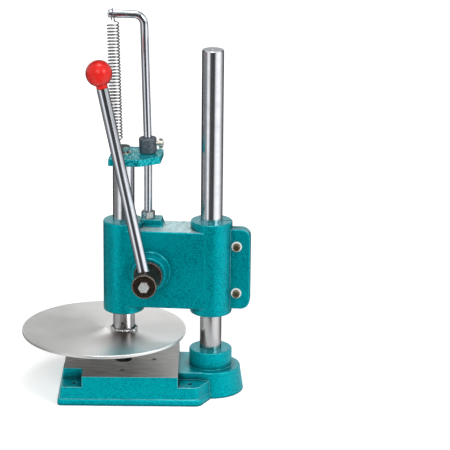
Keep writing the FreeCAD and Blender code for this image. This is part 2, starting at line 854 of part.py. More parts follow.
def report_wire(wire, spring):
    """Print the wire's least gap to itself, its tightest radius and its volume."""
    points = []
    marks = []
    travelled = 0.0
    for edge in wire.OrderedEdges:
        count = max(2, int(edge.Length / 0.8))
        for index in range(count):
            place = edge.getParameterByLength(edge.Length * index / count)
            points.append(edge.valueAt(place))
            marks.append(travelled + edge.Length * index / count)
        travelled += edge.Length
    least = 1000.0
    for index, point in enumerate(points):
        for other in range(index + 1, min(len(points), index + 240)):
            if marks[other] - marks[index] > 3.2 * spring_wire:
                least = min(least, point.distanceToPoint(points[other]))
    radii = [edge.Curve.Radius for edge in wire.Edges if hasattr(edge.Curve, "Radius")]
    section = math.pi * spring_wire ** 2 / 4
    print("spring: least gap", round(least - spring_wire, 2), "tightest radius", round(min(radii), 2))
    print("spring: volume", round(spring.Volume, 1), "section times length",
          round(section * wire.Length, 1), "valid", spring.isValid())


# Pinion, shaft and lever

def involute_point(base_radius, radius, start_angle):
    roll = math.sqrt((radius / base_radius) ** 2 - 1)
    angle = start_angle + roll - math.atan(roll)
    return radius * math.cos(angle), radius * math.sin(angle)


def tooth_profile():
    """Half of one tooth's outline: root, base, middle and tip of the flank, tooth along +x."""
    pitch_radius = gear_module * gear_teeth / 2
    base_radius = pitch_radius * math.cos(math.radians(pressure_angle))
    tip_radius = pitch_radius + gear_module
    half_tooth = math.pi / (2 * gear_teeth) - backlash / 4 / pitch_radius
    roll = math.tan(math.radians(pressure_angle)) - math.radians(pressure_angle)
    start_angle = -half_tooth - roll
    flank = []
    for radius in (base_radius, (base_radius + tip_radius) / 2, tip_radius):
        flank.append(involute_point(base_radius, radius, start_angle))
    return flank


def make_pinion_gear():
    root_radius = gear_module * gear_teeth / 2 - 1.25 * gear_module
    flank = tooth_profile()
    pitch_angle = 2 * math.pi / gear_teeth

    def turned(point, angle, mirror):
        x, y = point
        y = -y if mirror else y
        return Vector(pinion_x + x * math.cos(angle) - y * math.sin(angle), -gear_face / 2,
                      pinion_z + x * math.sin(angle) + y * math.cos(angle))

    edges = []
    for index in range(gear_teeth):
        angle = math.pi + index * pitch_angle
        root = (root_radius * math.cos(math.atan2(flank[0][1], flank[0][0])),
                root_radius * math.sin(math.atan2(flank[0][1], flank[0][0])))
        tip_mid = (math.hypot(*flank[2]), 0.0)
        rise = [turned(point, angle, False) for point in [root] + flank]
        fall = [turned(point, angle, True) for point in [root] + flank]
        edges.append(Part.LineSegment(rise[0], rise[1]).toShape())
        edges.append(Part.Arc(rise[1], rise[2], rise[3]).toShape())
        edges.append(Part.Arc(rise[3], turned(tip_mid, angle, False), fall[3]).toShape())
        edges.append(Part.Arc(fall[3], fall[2], fall[1]).toShape())
        edges.append(Part.LineSegment(fall[1], fall[0]).toShape())
        following = turned(root, angle + pitch_angle, False)
        half_way = angle + pitch_angle / 2
        bottom = turned((root_radius, 0.0), half_way, False)
        edges.append(Part.Arc(fall[0], bottom, following).toShape())
    blank = Part.Face(Part.Wire(edges)).extrude(Vector(0, gear_face, 0))
    blank = blank.cut(cylinder(gear_bore / 2 + fit_gap, pinion_point(-far), pinion_point(far)))
    return blank.cut(key_space())


def key_space():
    foot = pinion_z + gear_bore / 2 - key_depth
    half = key_width / 2
    reach = gear_face / 2 + 0.5
    return box((pinion_x - half, pinion_x + half), (-reach, reach), (foot, foot + key_height + 0.3))


def make_gear_key():
    foot = pinion_z + gear_bore / 2 - key_depth + 0.05
    half = key_width / 2 - 0.05
    return box((pinion_x - half, pinion_x + half), (-gear_face / 2, gear_face / 2), (foot, foot + key_height))


def make_pinion_shaft():
    head = cylinder(shaft_head_radius, pinion_point(shaft_head_front), pinion_point(shaft_head_rear))
    head = head.makeChamfer(1.0, [edge for edge in head.Edges if edge.Closed])
    shoulder = cylinder(bush_outer / 2, pinion_point(shaft_head_rear), pinion_point(collar_front))
    step = rear_bush_start - 0.5
    journal = cylinder(shaft_journal / 2, pinion_point(collar_front), pinion_point(step))
    tail = cylinder(shaft_tail / 2, pinion_point(step), pinion_point(circlip_start() + 4.4))
    shaft = head.fuse([shoulder, journal, tail]).removeSplitter()
    shaft = shaft.cut(key_space())
    groove = pinion_point(circlip_start() - 0.05)
    groove_end = groove + Vector(0, circlip_thickness + 0.1, 0)
    ring = cylinder(shaft_tail, groove, groove_end)
    core = cylinder(circlip_groove_radius, pinion_point(0), pinion_point(far))
    shaft = shaft.cut(ring.cut(core))
    low, high = lever_ends()
    shaft = shaft.cut(cylinder(lever_radius + fit_gap, low - lever_way() * 0.3, high))
    lock = pinion_point(lever_plane - lever_radius + 2)
    return shaft.cut(cylinder(lock_bolt_radius + fit_gap, lock, pinion_point(-far)))


def make_shaft_collar():
    collar = cylinder(collar_radius, pinion_point(collar_front), pinion_point(boss_face - 0.4))
    collar = collar.makeChamfer(0.8, [edge for edge in collar.Edges if edge.Closed])
    return collar.cut(cylinder(shaft_journal / 2 + fit_gap, pinion_point(-far), pinion_point(far)))


def circlip_start():
    return slab_half_depth + cover_hub_height + 0.65


def make_shaft_circlip():
    start = circlip_start()
    clip = cylinder(circlip_radius, pinion_point(start), pinion_point(start + circlip_thickness))
    clip = clip.cut(cylinder(circlip_groove_radius + 0.05, pinion_point(0), pinion_point(far)))
    return clip.cut(box((pinion_x - 4, pinion_x + 4), (0, far), (0, pinion_z)))


def lever_way():
    angle = math.radians(lever_angle)
    return Vector(-math.sin(angle), 0, math.cos(angle))


def lever_ends():
    centre = Vector(pinion_x, lever_plane, pinion_z)
    return centre - lever_way() * lever_tail, centre + lever_way() * lever_length


def make_lever_rod():
    low, high = lever_ends()
    rod = cylinder(lever_radius, low, high)
    rod = rod.makeChamfer(0.8, [edge for edge in rod.Edges if edge.Closed])
    spigot = cylinder(lever_spigot_radius, high, high + lever_way() * lever_spigot_length)
    return rod.fuse(spigot).removeSplitter()


def make_lever_lock_bolt():
    face = pinion_point(shaft_head_front)
    head = hex_head(lock_bolt_head, face, face - Vector(0, lock_bolt_head_height, 0))
    shank = cylinder(lock_bolt_radius, face, pinion_point(lever_plane - lever_radius - 0.1))
    return head.fuse(shank).removeSplitter()


def make_ball_knob():
    centre = Vector(pinion_x, lever_plane, pinion_z) + lever_way() * knob_distance
    low, high = lever_ends()
    ball = Part.makeSphere(knob_radius, centre)
    neck = cylinder(lever_radius - 0.3, high, centre)
    knob = ball.fuse(neck).removeSplitter()
    bore_end = high + lever_way() * (lever_spigot_length + 0.5)
    return knob.cut(cylinder(lever_spigot_radius + fit_gap, high - lever_way(), bore_end))


# Output

base_pieces = {
    "base_casting": make_base,
    "column": make_column,
    "column_set_screws": make_column_set_screws,
}

head_pieces = {
    "head_casting": make_head,
    "clamp_screws": make_clamp_screws,
    "clamp_washers": make_clamp_washers,
    "rear_cover": make_rear_cover,
    "cover_screws": make_cover_screws,
    "front_bush": make_front_bush,
    "rear_bush": make_rear_bush,
    "ram": make_ram,
    "press_plate": make_press_plate,
    "weld_bead": make_weld_bead,
    "yoke_plate": make_yoke_plate,
    "yoke_bolt": make_yoke_bolt,
    "yoke_washer": make_yoke_washer,
    "spring_rod": make_spring_rod,
    "rod_nut": make_rod_nut,
    "stop_collar": make_stop_collar,
    "wing_screw": make_wing_screw,
    "return_spring": make_return_spring,
    "pinion_shaft": make_pinion_shaft,
    "pinion_gear": make_pinion_gear,
    "gear_key": make_gear_key,
    "shaft_collar": make_shaft_collar,
    "shaft_circlip": make_shaft_circlip,
    "lever_rod": make_lever_rod,
    "lever_lock_bolt": make_lever_lock_bolt,
    "ball_knob": make_ball_knob,
}

os.makedirs("parts", exist_ok=True)
for name, make in base_pieces.items():
    make().exportStep("parts/" + name + ".step")
for name, make in head_pieces.items():
    in_head(make()).exportStep("parts/" + name + ".step")
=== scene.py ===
import json
import math
import random

import bmesh
import bpy
from mathutils import Matrix, Quaternion, Vector
from mathutils.geometry import interpolate_bezier


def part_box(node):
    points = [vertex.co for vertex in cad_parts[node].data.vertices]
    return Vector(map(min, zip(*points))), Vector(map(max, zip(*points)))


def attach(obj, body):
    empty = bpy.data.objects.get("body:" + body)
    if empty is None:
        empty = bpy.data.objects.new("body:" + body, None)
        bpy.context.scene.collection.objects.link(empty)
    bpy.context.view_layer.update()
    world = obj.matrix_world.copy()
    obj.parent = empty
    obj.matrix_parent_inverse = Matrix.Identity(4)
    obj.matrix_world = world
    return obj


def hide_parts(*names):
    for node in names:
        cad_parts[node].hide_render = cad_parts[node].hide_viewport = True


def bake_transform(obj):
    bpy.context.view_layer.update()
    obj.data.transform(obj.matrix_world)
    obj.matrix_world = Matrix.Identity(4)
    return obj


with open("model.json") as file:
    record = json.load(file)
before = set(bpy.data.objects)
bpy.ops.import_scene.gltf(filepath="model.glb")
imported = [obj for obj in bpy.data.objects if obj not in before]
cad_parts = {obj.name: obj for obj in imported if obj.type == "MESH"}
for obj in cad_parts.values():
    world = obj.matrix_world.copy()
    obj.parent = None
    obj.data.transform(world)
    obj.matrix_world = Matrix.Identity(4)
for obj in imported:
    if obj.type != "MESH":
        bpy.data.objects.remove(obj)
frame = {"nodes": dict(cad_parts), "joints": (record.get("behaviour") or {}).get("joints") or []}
nodes = frame["nodes"]
joints = {joint["name"]: joint for joint in frame["joints"]}
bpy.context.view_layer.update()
print("frame loaded:", len(nodes), "nodes")

mm = 0.001

# The head and what it carries are turned a little about the column, as the lever's axis tells
columnPlace = Vector(joints["column_turn"]["pos_m"])
leverPlace = Vector(joints["lever_turn"]["pos_m"])
leverAxis = Vector(joints["lever_turn"]["axis"])
headTurn = math.atan2(leverAxis.x, -leverAxis.y)
headFrame = Matrix.Translation((columnPlace.x, columnPlace.y, 0)) @ Matrix.Rotation(headTurn, 4, "Z")


def middleOf(node):
    low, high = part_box(node)
    return (low + high) / 2


# Camera, as the photograph was taken: from a little above, with a long lens

cameraSettings = {
    "place": Vector((0.1226, -3.1669, 1.2254)),
    "aim": Vector((0.12653, 0.0, 0.2398)),
    "rollDegrees": 0.609,
    "lensMm": 192.0,
    "sensorMm": 36.0,
    "clip": [0.1, 100.0],
}


def addCamera():
    data = bpy.data.cameras.new("camera")
    data.lens = cameraSettings["lensMm"]
    data.sensor_width = cameraSettings["sensorMm"]
    data.clip_start, data.clip_end = cameraSettings["clip"]
    camera = bpy.data.objects.new("camera", data)
    bpy.context.collection.objects.link(camera)
    look = cameraSettings["aim"] - cameraSettings["place"]
    roll = Quaternion((0, 0, 1), math.radians(cameraSettings["rollDegrees"]))
    camera.rotation_mode = "QUATERNION"
    camera.rotation_quaternion = look.to_track_quat("-Z", "Y") @ roll
    camera.location = cameraSettings["place"]
    bpy.context.scene.camera = camera
    bpy.context.scene.view_settings.view_transform = "Standard"


# Small helpers


def toLinear(hexColour):
    channels = []
    for start in (0, 2, 4):
        value = int(hexColour[start:start + 2], 16) / 255
        channels.append(value / 12.92 if value <= 0.04045 else ((value + 0.055) / 1.055) ** 2.4)
    return (*channels, 1.0)


def perMetre(sizeMm):
    return 1000.0 / sizeMm


def span(low, high, atLow=0.0, atHigh=1.0):
    # Inputs that turn low to high into atLow to atHigh. What is called levels below holds these
    # numbers, in metres where they are places
    return {"From Min": low, "From Max": high, "To Min": atLow, "To Max": atHigh}


def addNode(tree, kind, links=None, inputs=None, **settings):
    node = tree.nodes.new(kind)
    for name, value in settings.items():
        setattr(node, name, value)
    for name, value in (inputs or {}).items():
        node.inputs[name].default_value = value
    for name, socket in (links or {}).items():
        tree.links.new(socket, node.inputs[name])
    return node


def startMaterial(name, **shaderInputs):
    material = bpy.data.materials.new(name)
    material.use_nodes = True
    tree = material.node_tree
    tree.nodes.clear()
    values = {key.replace("_", " "): value for key, value in shaderInputs.items()}
    shader = addNode(tree, "ShaderNodeBsdfPrincipled", inputs=values)
    addNode(tree, "ShaderNodeOutputMaterial", links={"Surface": shader.outputs[0]})
    place = addNode(tree, "ShaderNodeTexCoord").outputs["Object"]
    return material, tree, shader, place


def newObject(name, shape):
    # Turns a finished bmesh into an object at the origin
    mesh = bpy.data.meshes.new(name)
    shape.to_mesh(mesh)
    shape.free()
    made = bpy.data.objects.new(name, mesh)
    bpy.context.collection.objects.link(made)
    return made


# Stage: a pale floor, soft lamps, and cards that only reflections see

stageSettings = {
    "floorHalf": 40.0,
    "floorColour": "F7F7F7", "floorRoughness": 0.9,
    "nearLift": 0.42, "farLift": 0.75, "liftReach": [0.7, 4.0],
    "worldSeen": 1.0,
    "worldLight": 0.34,
    "aim": Vector((0.08, 0.0, 0.22)),
}

lampSettings = {
    "keyLamp": {"place": (-0.4, -3.1, 2.3), "size": (1.8, 1.6), "energy": 60.0},
    "fillLamp": {"place": (2.5, -2.0, 2.1), "size": (1.4, 1.6), "energy": 46.0},
    "topLamp": {"place": (0.1, -0.1, 2.8), "size": (1.0, 0.6), "energy": 17.0},
    "backLamp": {"place": (0.1, 2.7, 1.1), "size": (3.8, 1.2), "energy": 8.0},
}

# What upright bars mirror, as stops round the press: azimuth 0 is the camera's side, positive to
# its right, and each level is how bright that way looks
ringCard = {
    "near": 0.30, "far": 9.0, "height": 0.002,
    "stops": [
        (-180, 0.05), (-128, 0.05), (-116, 0.32), (-80, 0.24), (-62, 0.50), (-50, 1.2), (-32, 1.2),
        (-22, 0.10), (22, 0.06), (36, 1.2), (66, 1.5), (86, 1.2), (106, 0.50), (128, 0.26),
        (146, 0.06), (180, 0.05),
    ],
}

# Upright cards, each between two azimuths. The front one keeps gloss on the object's front deep, the
# hood behind draws the line along the tops of level bars, and the grey one under it takes some of
# the white off the head's tops
uprightCards = {
    "frontCard": {"turns": [-38, 40], "reach": 2.6, "low": 0.02, "high": 3.1, "level": 0.03},
    "hoodCard": {"turns": [120, 240], "reach": 1.9, "low": 1.22, "high": 6.2, "level": 0.05},
    "greyCard": {"turns": [120, 240], "reach": 1.9, "low": 0.74, "high": 1.0, "level": 0.2},
}


def setWorld():
    world = bpy.data.worlds.new("studio")
    bpy.context.scene.world = world
    world.use_nodes = True
    tree = world.node_tree
    tree.nodes.clear()
    rays = addNode(tree, "ShaderNodeLightPath")
    seen = addNode(tree, "ShaderNodeMath", operation="MAXIMUM",
                   links={0: rays.outputs["Is Camera Ray"], 1: rays.outputs["Is Glossy Ray"]})
    seen = addNode(tree, "ShaderNodeMath", operation="MAXIMUM",
                   links={0: seen.outputs[0], 1: rays.outputs["Is Transmission Ray"]})
    strength = addNode(tree, "ShaderNodeMapRange", links={"Value": seen.outputs[0]},
                       inputs=span(0.0, 1.0, stageSettings["worldLight"], stageSettings["worldSeen"]))
    background = addNode(tree, "ShaderNodeBackground", inputs={"Color": (1, 1, 1, 1)},
                         links={"Strength": strength.outputs[0]})
    addNode(tree, "ShaderNodeOutputWorld", links={"Surface": background.outputs[0]})


def addFloor():
    shape = bmesh.new()
    bmesh.ops.create_grid(shape, x_segments=1, y_segments=1, size=stageSettings["floorHalf"])
    floor = newObject("floor", shape)
    material, tree, shader, place = startMaterial(
        "paperSweep", Base_Color=toLinear(stageSettings["floorColour"]),
        Roughness=stageSettings["floorRoughness"], Specular_IOR_Level=0.0, Emission_Color=(1, 1, 1, 1))
    rays = addNode(tree, "ShaderNodeLightPath")
    # Beyond the lamps' reach the floor is lifted more, so that it stays as white as near the press
    distance = addNode(tree, "ShaderNodeVectorMath", operation="LENGTH", links={0: place})
    level = addNode(tree, "ShaderNodeMapRange", links={"Value": distance.outputs["Value"]},
                    inputs=span(*stageSettings["liftReach"], stageSettings["nearLift"],
                                stageSettings["farLift"]))
    lift = addNode(tree, "ShaderNodeMath", operation="MULTIPLY",
                   links={0: rays.outputs["Is Camera Ray"], 1: level.outputs[0]})
    tree.links.new(lift.outputs[0], shader.inputs["Emission Strength"])
    floor.data.materials.append(material)


def addLamps():
    for name, lamp in lampSettings.items():
        data = bpy.data.lights.new(name, "AREA")
        data.shape = "RECTANGLE"
        data.size, data.size_y = lamp["size"]
        data.energy = lamp["energy"]
        made = bpy.data.objects.new(name, data)
        bpy.context.collection.objects.link(made)
        made.location = lamp["place"]
        made.rotation_euler = (stageSettings["aim"] - made.location).to_track_quat("-Z", "Y").to_euler()
        made.visible_camera = False


def sweptCard(name, corners, turns, steps=72):
    # A line from corner to corner, swept round the press between two azimuths
    shape = bmesh.new()
    start = math.radians(turns[0])
    ends = [shape.verts.new((reach * math.sin(start), -reach * math.cos(start), height))
            for reach, height in corners]
    line = shape.edges.new(ends)
    bmesh.ops.spin(shape, geom=[*ends, line], cent=(0, 0, 0), axis=(0, 0, 1), dvec=(0, 0, 0),
                   angle=math.radians(turns[1] - turns[0]), steps=steps, use_duplicate=False)
    bmesh.ops.remove_doubles(shape, verts=shape.verts, dist=0.0001)
    card = newObject(name, shape)
    material = bpy.data.materials.new(name)
    material.use_nodes = True
    tree = material.node_tree
    tree.nodes.clear()
    glow = addNode(tree, "ShaderNodeEmission", inputs={"Color": (1, 1, 1, 1)})
    addNode(tree, "ShaderNodeOutputMaterial", links={"Surface": glow.outputs[0]})
    card.data.materials.append(material)
    card.visible_camera = False
    card.visible_diffuse = False
    card.visible_shadow = False
    card.visible_transmission = False
    return tree, glow


def addRingCard():
    corners = [(ringCard[end], ringCard["height"]) for end in ("near", "far")]
    tree, glow = sweptCard("ringCard", corners, (-180, 180))
    place = addNode(tree, "ShaderNodeTexCoord").outputs["Object"]
    parts = addNode(tree, "ShaderNodeSeparateXYZ", links={0: place})
    back = addNode(tree, "ShaderNodeMath", operation="MULTIPLY", links={0: parts.outputs["Y"]},
                   inputs={1: -1.0})
    turn = addNode(tree, "ShaderNodeMath", operation="ARCTAN2",
                   links={0: parts.outputs["X"], 1: back.outputs[0]})
    share = addNode(tree, "ShaderNodeMapRange", links={"Value": turn.outputs[0]},
                    inputs=span(-math.pi, math.pi))
    levels = addNode(tree, "ShaderNodeValToRGB", links={0: share.outputs[0]})
    ramp = levels.color_ramp.elements
    brightest = max(level for azimuth, level in ringCard["stops"])
    for index, (azimuth, level) in enumerate(ringCard["stops"]):
        # A new ramp has two stops already
        stop = ramp[index] if index < 2 else ramp.new(1.0)
        stop.position = azimuth / 360 + 0.5
        stop.color = (*[level / brightest] * 3, 1.0)
    strength = addNode(tree, "ShaderNodeMath", operation="MULTIPLY", links={0: levels.outputs[0]},
                       inputs={1: brightest})
    tree.links.new(strength.outputs[0], glow.inputs["Strength"])


def addUprightCards():
    for name, card in uprightCards.items():
        corners = [(card["reach"], card[end]) for end in ("low", "high")]
        glow = sweptCard(name, corners, card["turns"])[1]
        glow.inputs["Strength"].default_value = card["level"]


addCamera()
setWorld()
addFloor()
addLamps()
addRingCard()
addUprightCards()
print("stage set")


# What several finishes are made of


def toned(tree, colour, value, levels, hexColour):
    # The colour goes over into another one as a value passes through its levels
    share = addNode(tree, "ShaderNodeMapRange", links={"Value": value}, inputs=span(*levels))
    return addNode(tree, "ShaderNodeMix", data_type="RGBA", links={0: share.outputs[0], 6: colour},
                   inputs={7: toLinear(hexColour)}).outputs[2]


def edgeWearAndHighlight(tree, colour, rounded, levels, hexColour):
    # Lighter along edges, where the rounded normal leaves the true one: real wear on the small metal
    # pieces, a painted highlight on the enamel
    surface = addNode(tree, "ShaderNodeNewGeometry")
    bend = addNode(tree, "ShaderNodeVectorMath", operation="DOT_PRODUCT",
                   links={0: rounded, 1: surface.outputs["Normal"]})
    return toned(tree, colour, bend.outputs["Value"], levels, hexColour)


# What patches are like, where a finish doesn't say otherwise
mottle = {"detail": 5.0, "grain": 0.6, "patchRange": [0.35, 0.7], "dullRange": [0.3, 0.75]}


def mottled(tree, place, look):
    # Patches of a light and a dark shade, which differ in gloss too
    look = {**mottle, **look}
    patches = addNode(tree, "ShaderNodeTexNoise", links={"Vector": place},
                      inputs={"Scale": perMetre(look["patchMm"]), "Detail": look["detail"],
                              "Roughness": look["grain"]}).outputs["Fac"]
    share = addNode(tree, "ShaderNodeMapRange", links={"Value": patches},
                    inputs=span(*look["patchRange"]))
    colour = addNode(tree, "ShaderNodeMix", data_type="RGBA", links={0: share.outputs[0]},
                     inputs={6: toLinear(look["light"]), 7: toLinear(look["dark"])}).outputs[2]
    rough = addNode(tree, "ShaderNodeMapRange", links={"Value": patches},
                    inputs=span(*look["dullRange"], *look["roughness"])).outputs[0]
    return colour, rough, patches


def grooved(tree, place, look):
    # Grooves with their own size in millimetres along each axis
    stretch = addNode(tree, "ShaderNodeMapping", links={"Vector": place},
                      inputs={"Scale": [1 / size for size in look["grooveMm"]]})
    grooves = addNode(tree, "ShaderNodeTexNoise", links={"Vector": stretch.outputs[0]},
                      inputs={"Scale": perMetre(1.0), "Detail": look["grooveDetail"],
                              "Roughness": look["grooveGrain"]}).outputs["Fac"]
    normal = addNode(tree, "ShaderNodeBump", links={"Height": grooves},
                     inputs={"Strength": look["grooveStrength"],
                             "Distance": look["grooveDepthMm"] * mm}).outputs[0]
    return grooves, normal


# Hammered enamel. Its flakes are drawn coarser than the real ones, which are too fine to show
paint = {
    "light": "00C4CC", "dark": "00737F", "sheen": "20DCE6", "metallic": 0.42, "roughness": 0.32,
    "coatRoughness": 0.08, "coatIor": 1.65,
    "flakeMm": 1.15, "flakeDepth": 1.0, "flakeRange": [0.12, 0.62], "dimpleMm": 0.11,
    "rim": "00A4AE", "patchMm": 40.0, "patchLevels": [0.4, 0.75, 0.0, 0.5],
    "upRange": [0.3, 0.95], "coatOnWalls": 0.02, "coatOnTops": 0.8,
    "speckRange": [0.25, 0.75], "brokenGloss": 0.5,
    # The edge colour and its levels are a painted highlight along the enamel's rounded edges
    "softEdgeMm": 1.4, "edge": "A4EEF2", "edgeLevels": [0.99, 0.86, 0.0, 0.8],
    # Painted shade in the inner corners and a painted shadow along the base's foot: the dark colour, its
    # share, reach and range, and the foot's height
    "cornerShade": "03343A", "cornerShadeShare": 0.95, "cornerShadeMm": 12.0, "cornerShadeRange": [0.45, 0.95], "footShadowMm": 3.5,
    "paintedSheenTop": False, "milledTable": False,
}

# The solids each enamel is on, and where it differs. The yoke's coarser flakes are its own; the lighter
# shades of the base and the yoke are painted light: the one teal enamel made lighter on the parts that
# are lit more brightly
castings = {
    "tealPaintHead": {"on": ["head_casting"], "paintedSheenTop": True},
    "tealPaint": {"on": ["rear_cover"]},
    "tealPaintYoke": {"on": ["yoke_plate"], "light": "3CD2D8", "dark": "007B85", "flakeMm": 2.8,
                      "flakeDepth": 1.5, "dimpleMm": 0.4, "brokenGloss": 1.0},
    "tealPaintBase": {"on": ["base_casting"], "light": "00D0D8", "dark": "008490", "coatOnTops": 0.5,
                      "milledTable": True},
}


def hammeredPaint(name, changes):
    # Hammered enamel on a casting: metal flakes whose small dimples break up the light, teal in every
    # highlight, and on tops a clear gloss that mirrors the white room
    look = {**paint, **changes}
    material, tree, shader, place = startMaterial(
        name, Metallic=look["metallic"], Roughness=look["roughness"], Specular_IOR_Level=0.5,
        Specular_Tint=toLinear(look["sheen"]), Coat_Weight=1.0, Coat_Roughness=look["coatRoughness"],
        Coat_IOR=look["coatIor"])
    stretch = addNode(tree, "ShaderNodeMapping", links={"Vector": place},
                      inputs={"Scale": (1.0, 1 / look["flakeDepth"], 1.0)})
    cells = addNode(tree, "ShaderNodeTexVoronoi", links={"Vector": stretch.outputs[0]},
                    feature="SMOOTH_F1",
                    inputs={"Scale": perMetre(look["flakeMm"]), "Smoothness": 0.4, "Randomness": 1.0})
    dimples = addNode(tree, "ShaderNodeMapRange", links={"Value": cells.outputs["Distance"]},
                      inputs=span(*look["flakeRange"])).outputs[0]
    colour = addNode(tree, "ShaderNodeMix", data_type="RGBA", links={0: dimples},
                     inputs={6: toLinear(look["light"]), 7: toLinear(look["dark"])}).outputs[2]
    patches = addNode(tree, "ShaderNodeTexNoise", links={"Vector": place},
                      inputs={"Scale": perMetre(look["patchMm"]), "Detail": 2.0, "Roughness": 0.5})
    colour = toned(tree, colour, patches.outputs["Fac"], look["patchLevels"], look["rim"])
    rounded = addNode(tree, "ShaderNodeBevel", samples=6,
                      inputs={"Radius": look["softEdgeMm"] * mm}).outputs[0]
    upwards = addNode(tree, "ShaderNodeSeparateXYZ", links={"Vector": rounded}).outputs["Z"]
    coat = addNode(tree, "ShaderNodeMapRange", links={"Value": upwards},
                   inputs=span(*look["upRange"], look["coatOnWalls"], look["coatOnTops"]))
    # The dimples break the gloss into specks
    specks = addNode(tree, "ShaderNodeMapRange", links={"Value": dimples},
                     inputs=span(*look["speckRange"], 1.0, 1.0 - look["brokenGloss"]))
    coat = addNode(tree, "ShaderNodeMath", operation="MULTIPLY",
                   links={0: coat.outputs[0], 1: specks.outputs[0]}).outputs[0]
    normal = addNode(tree, "ShaderNodeBump", links={"Height": dimples, "Normal": rounded},
                     inputs={"Strength": 0.5, "Distance": look["dimpleMm"] * mm}).outputs[0]
    # Painted highlight: the enamel's colour goes lighter along its edges, where they would catch the
    # light
    colour = edgeWearAndHighlight(tree, colour, rounded, look["edgeLevels"], look["edge"])
    # Painted shade in the inner corners and a painted shadow along the foot
    colour = paintedCornerShade(tree, place, colour, look)
    # Painted reflection: a lighter, silvery colour on the slab's level top
    if look["paintedSheenTop"]:
        colour = paintedSheenSlab(tree, place, upwards, colour)
    if look["milledTable"]:
        mask = tableMask(tree, place)
        colour, normal, coat = machinedTable(tree, shader, place, mask, colour, normal, coat)
    tree.links.new(colour, shader.inputs["Base Color"])
    tree.links.new(coat, shader.inputs["Coat Weight"])
    tree.links.new(normal, shader.inputs["Normal"])
    tree.links.new(normal, shader.inputs["Coat Normal"])
    return material


def paintedCornerShade(tree, place, colour, look):
    # Painted shade: the colour goes dark in the casting's inner corners, and a painted shadow darkens it
    # along the base's foot
    corners = addNode(tree, "ShaderNodeAmbientOcclusion", samples=8, only_local=True,
                      inputs={"Distance": look["cornerShadeMm"] * mm})
    cornerShade = addNode(tree, "ShaderNodeMapRange", links={"Value": corners.outputs["AO"]},
                    inputs=span(*look["cornerShadeRange"], look["cornerShadeShare"], 0.0))
    parts = addNode(tree, "ShaderNodeSeparateXYZ", links={0: place})
    foot = addNode(tree, "ShaderNodeMapRange", links={"Value": parts.outputs["Z"]},
                   inputs=span(0.0, look["footShadowMm"] * mm, look["cornerShadeShare"], 0.0))
    cornerShade = addNode(tree, "ShaderNodeMath", operation="MAXIMUM",
                    links={0: cornerShade.outputs[0], 1: foot.outputs[0]})
    return addNode(tree, "ShaderNodeMix", data_type="RGBA", links={0: cornerShade.outputs[0], 6: colour},
                   inputs={7: toLinear(look["cornerShade"])}).outputs[2]


# The slab's flat top, between the pad and the column's boss, is silvery in the photograph; a painted
# reflection gives it lighter, silvery blotches on its level top
paintedSheen = {"above": 235.2, "below": 236.0, "level": 0.96, "colour": "EEF4F4",
          "blotchMm": 6.0, "blotchLevels": [0.3, 0.6, 0.35, 1.0]}


def paintedSheenSlab(tree, place, upwards, colour):
    parts = addNode(tree, "ShaderNodeSeparateXYZ", links={"Vector": place})
    above = addNode(tree, "ShaderNodeMath", operation="GREATER_THAN", links={0: parts.outputs["Z"]},
                    inputs={1: paintedSheen["above"] * mm})
    below = addNode(tree, "ShaderNodeMath", operation="LESS_THAN", links={0: parts.outputs["Z"]},
                    inputs={1: paintedSheen["below"] * mm})
    level = addNode(tree, "ShaderNodeMath", operation="GREATER_THAN", links={0: upwards},
                    inputs={1: paintedSheen["level"]})
    blotches = addNode(tree, "ShaderNodeTexNoise", links={"Vector": place},
                       inputs={"Scale": perMetre(paintedSheen["blotchMm"]), "Detail": 5.0, "Roughness": 0.7})
    share = addNode(tree, "ShaderNodeMapRange", links={"Value": blotches.outputs["Fac"]},
                    inputs=span(*paintedSheen["blotchLevels"]))
    for mask in (above, below, level):
        share = addNode(tree, "ShaderNodeMath", operation="MULTIPLY",
                        links={0: share.outputs[0], 1: mask.outputs[0]})
    return addNode(tree, "ShaderNodeMix", data_type="RGBA", links={0: share.outputs[0], 6: colour},
                   inputs={7: toLinear(paintedSheen["colour"])}).outputs[2]


# Where the base is milled and drilled: its table, whose right edge wanders, the table's bore and the
# ring of small holes round it, down to the table's underside
milling = {"top": 40.8, "right": 63.6, "wanderMm": 7.0, "wander": 0.4, "underside": 31.0,
           "centre": (-14.2, 0.0, 0.0), "bore": 12.4, "ring": 43.0, "hole": 3.7}


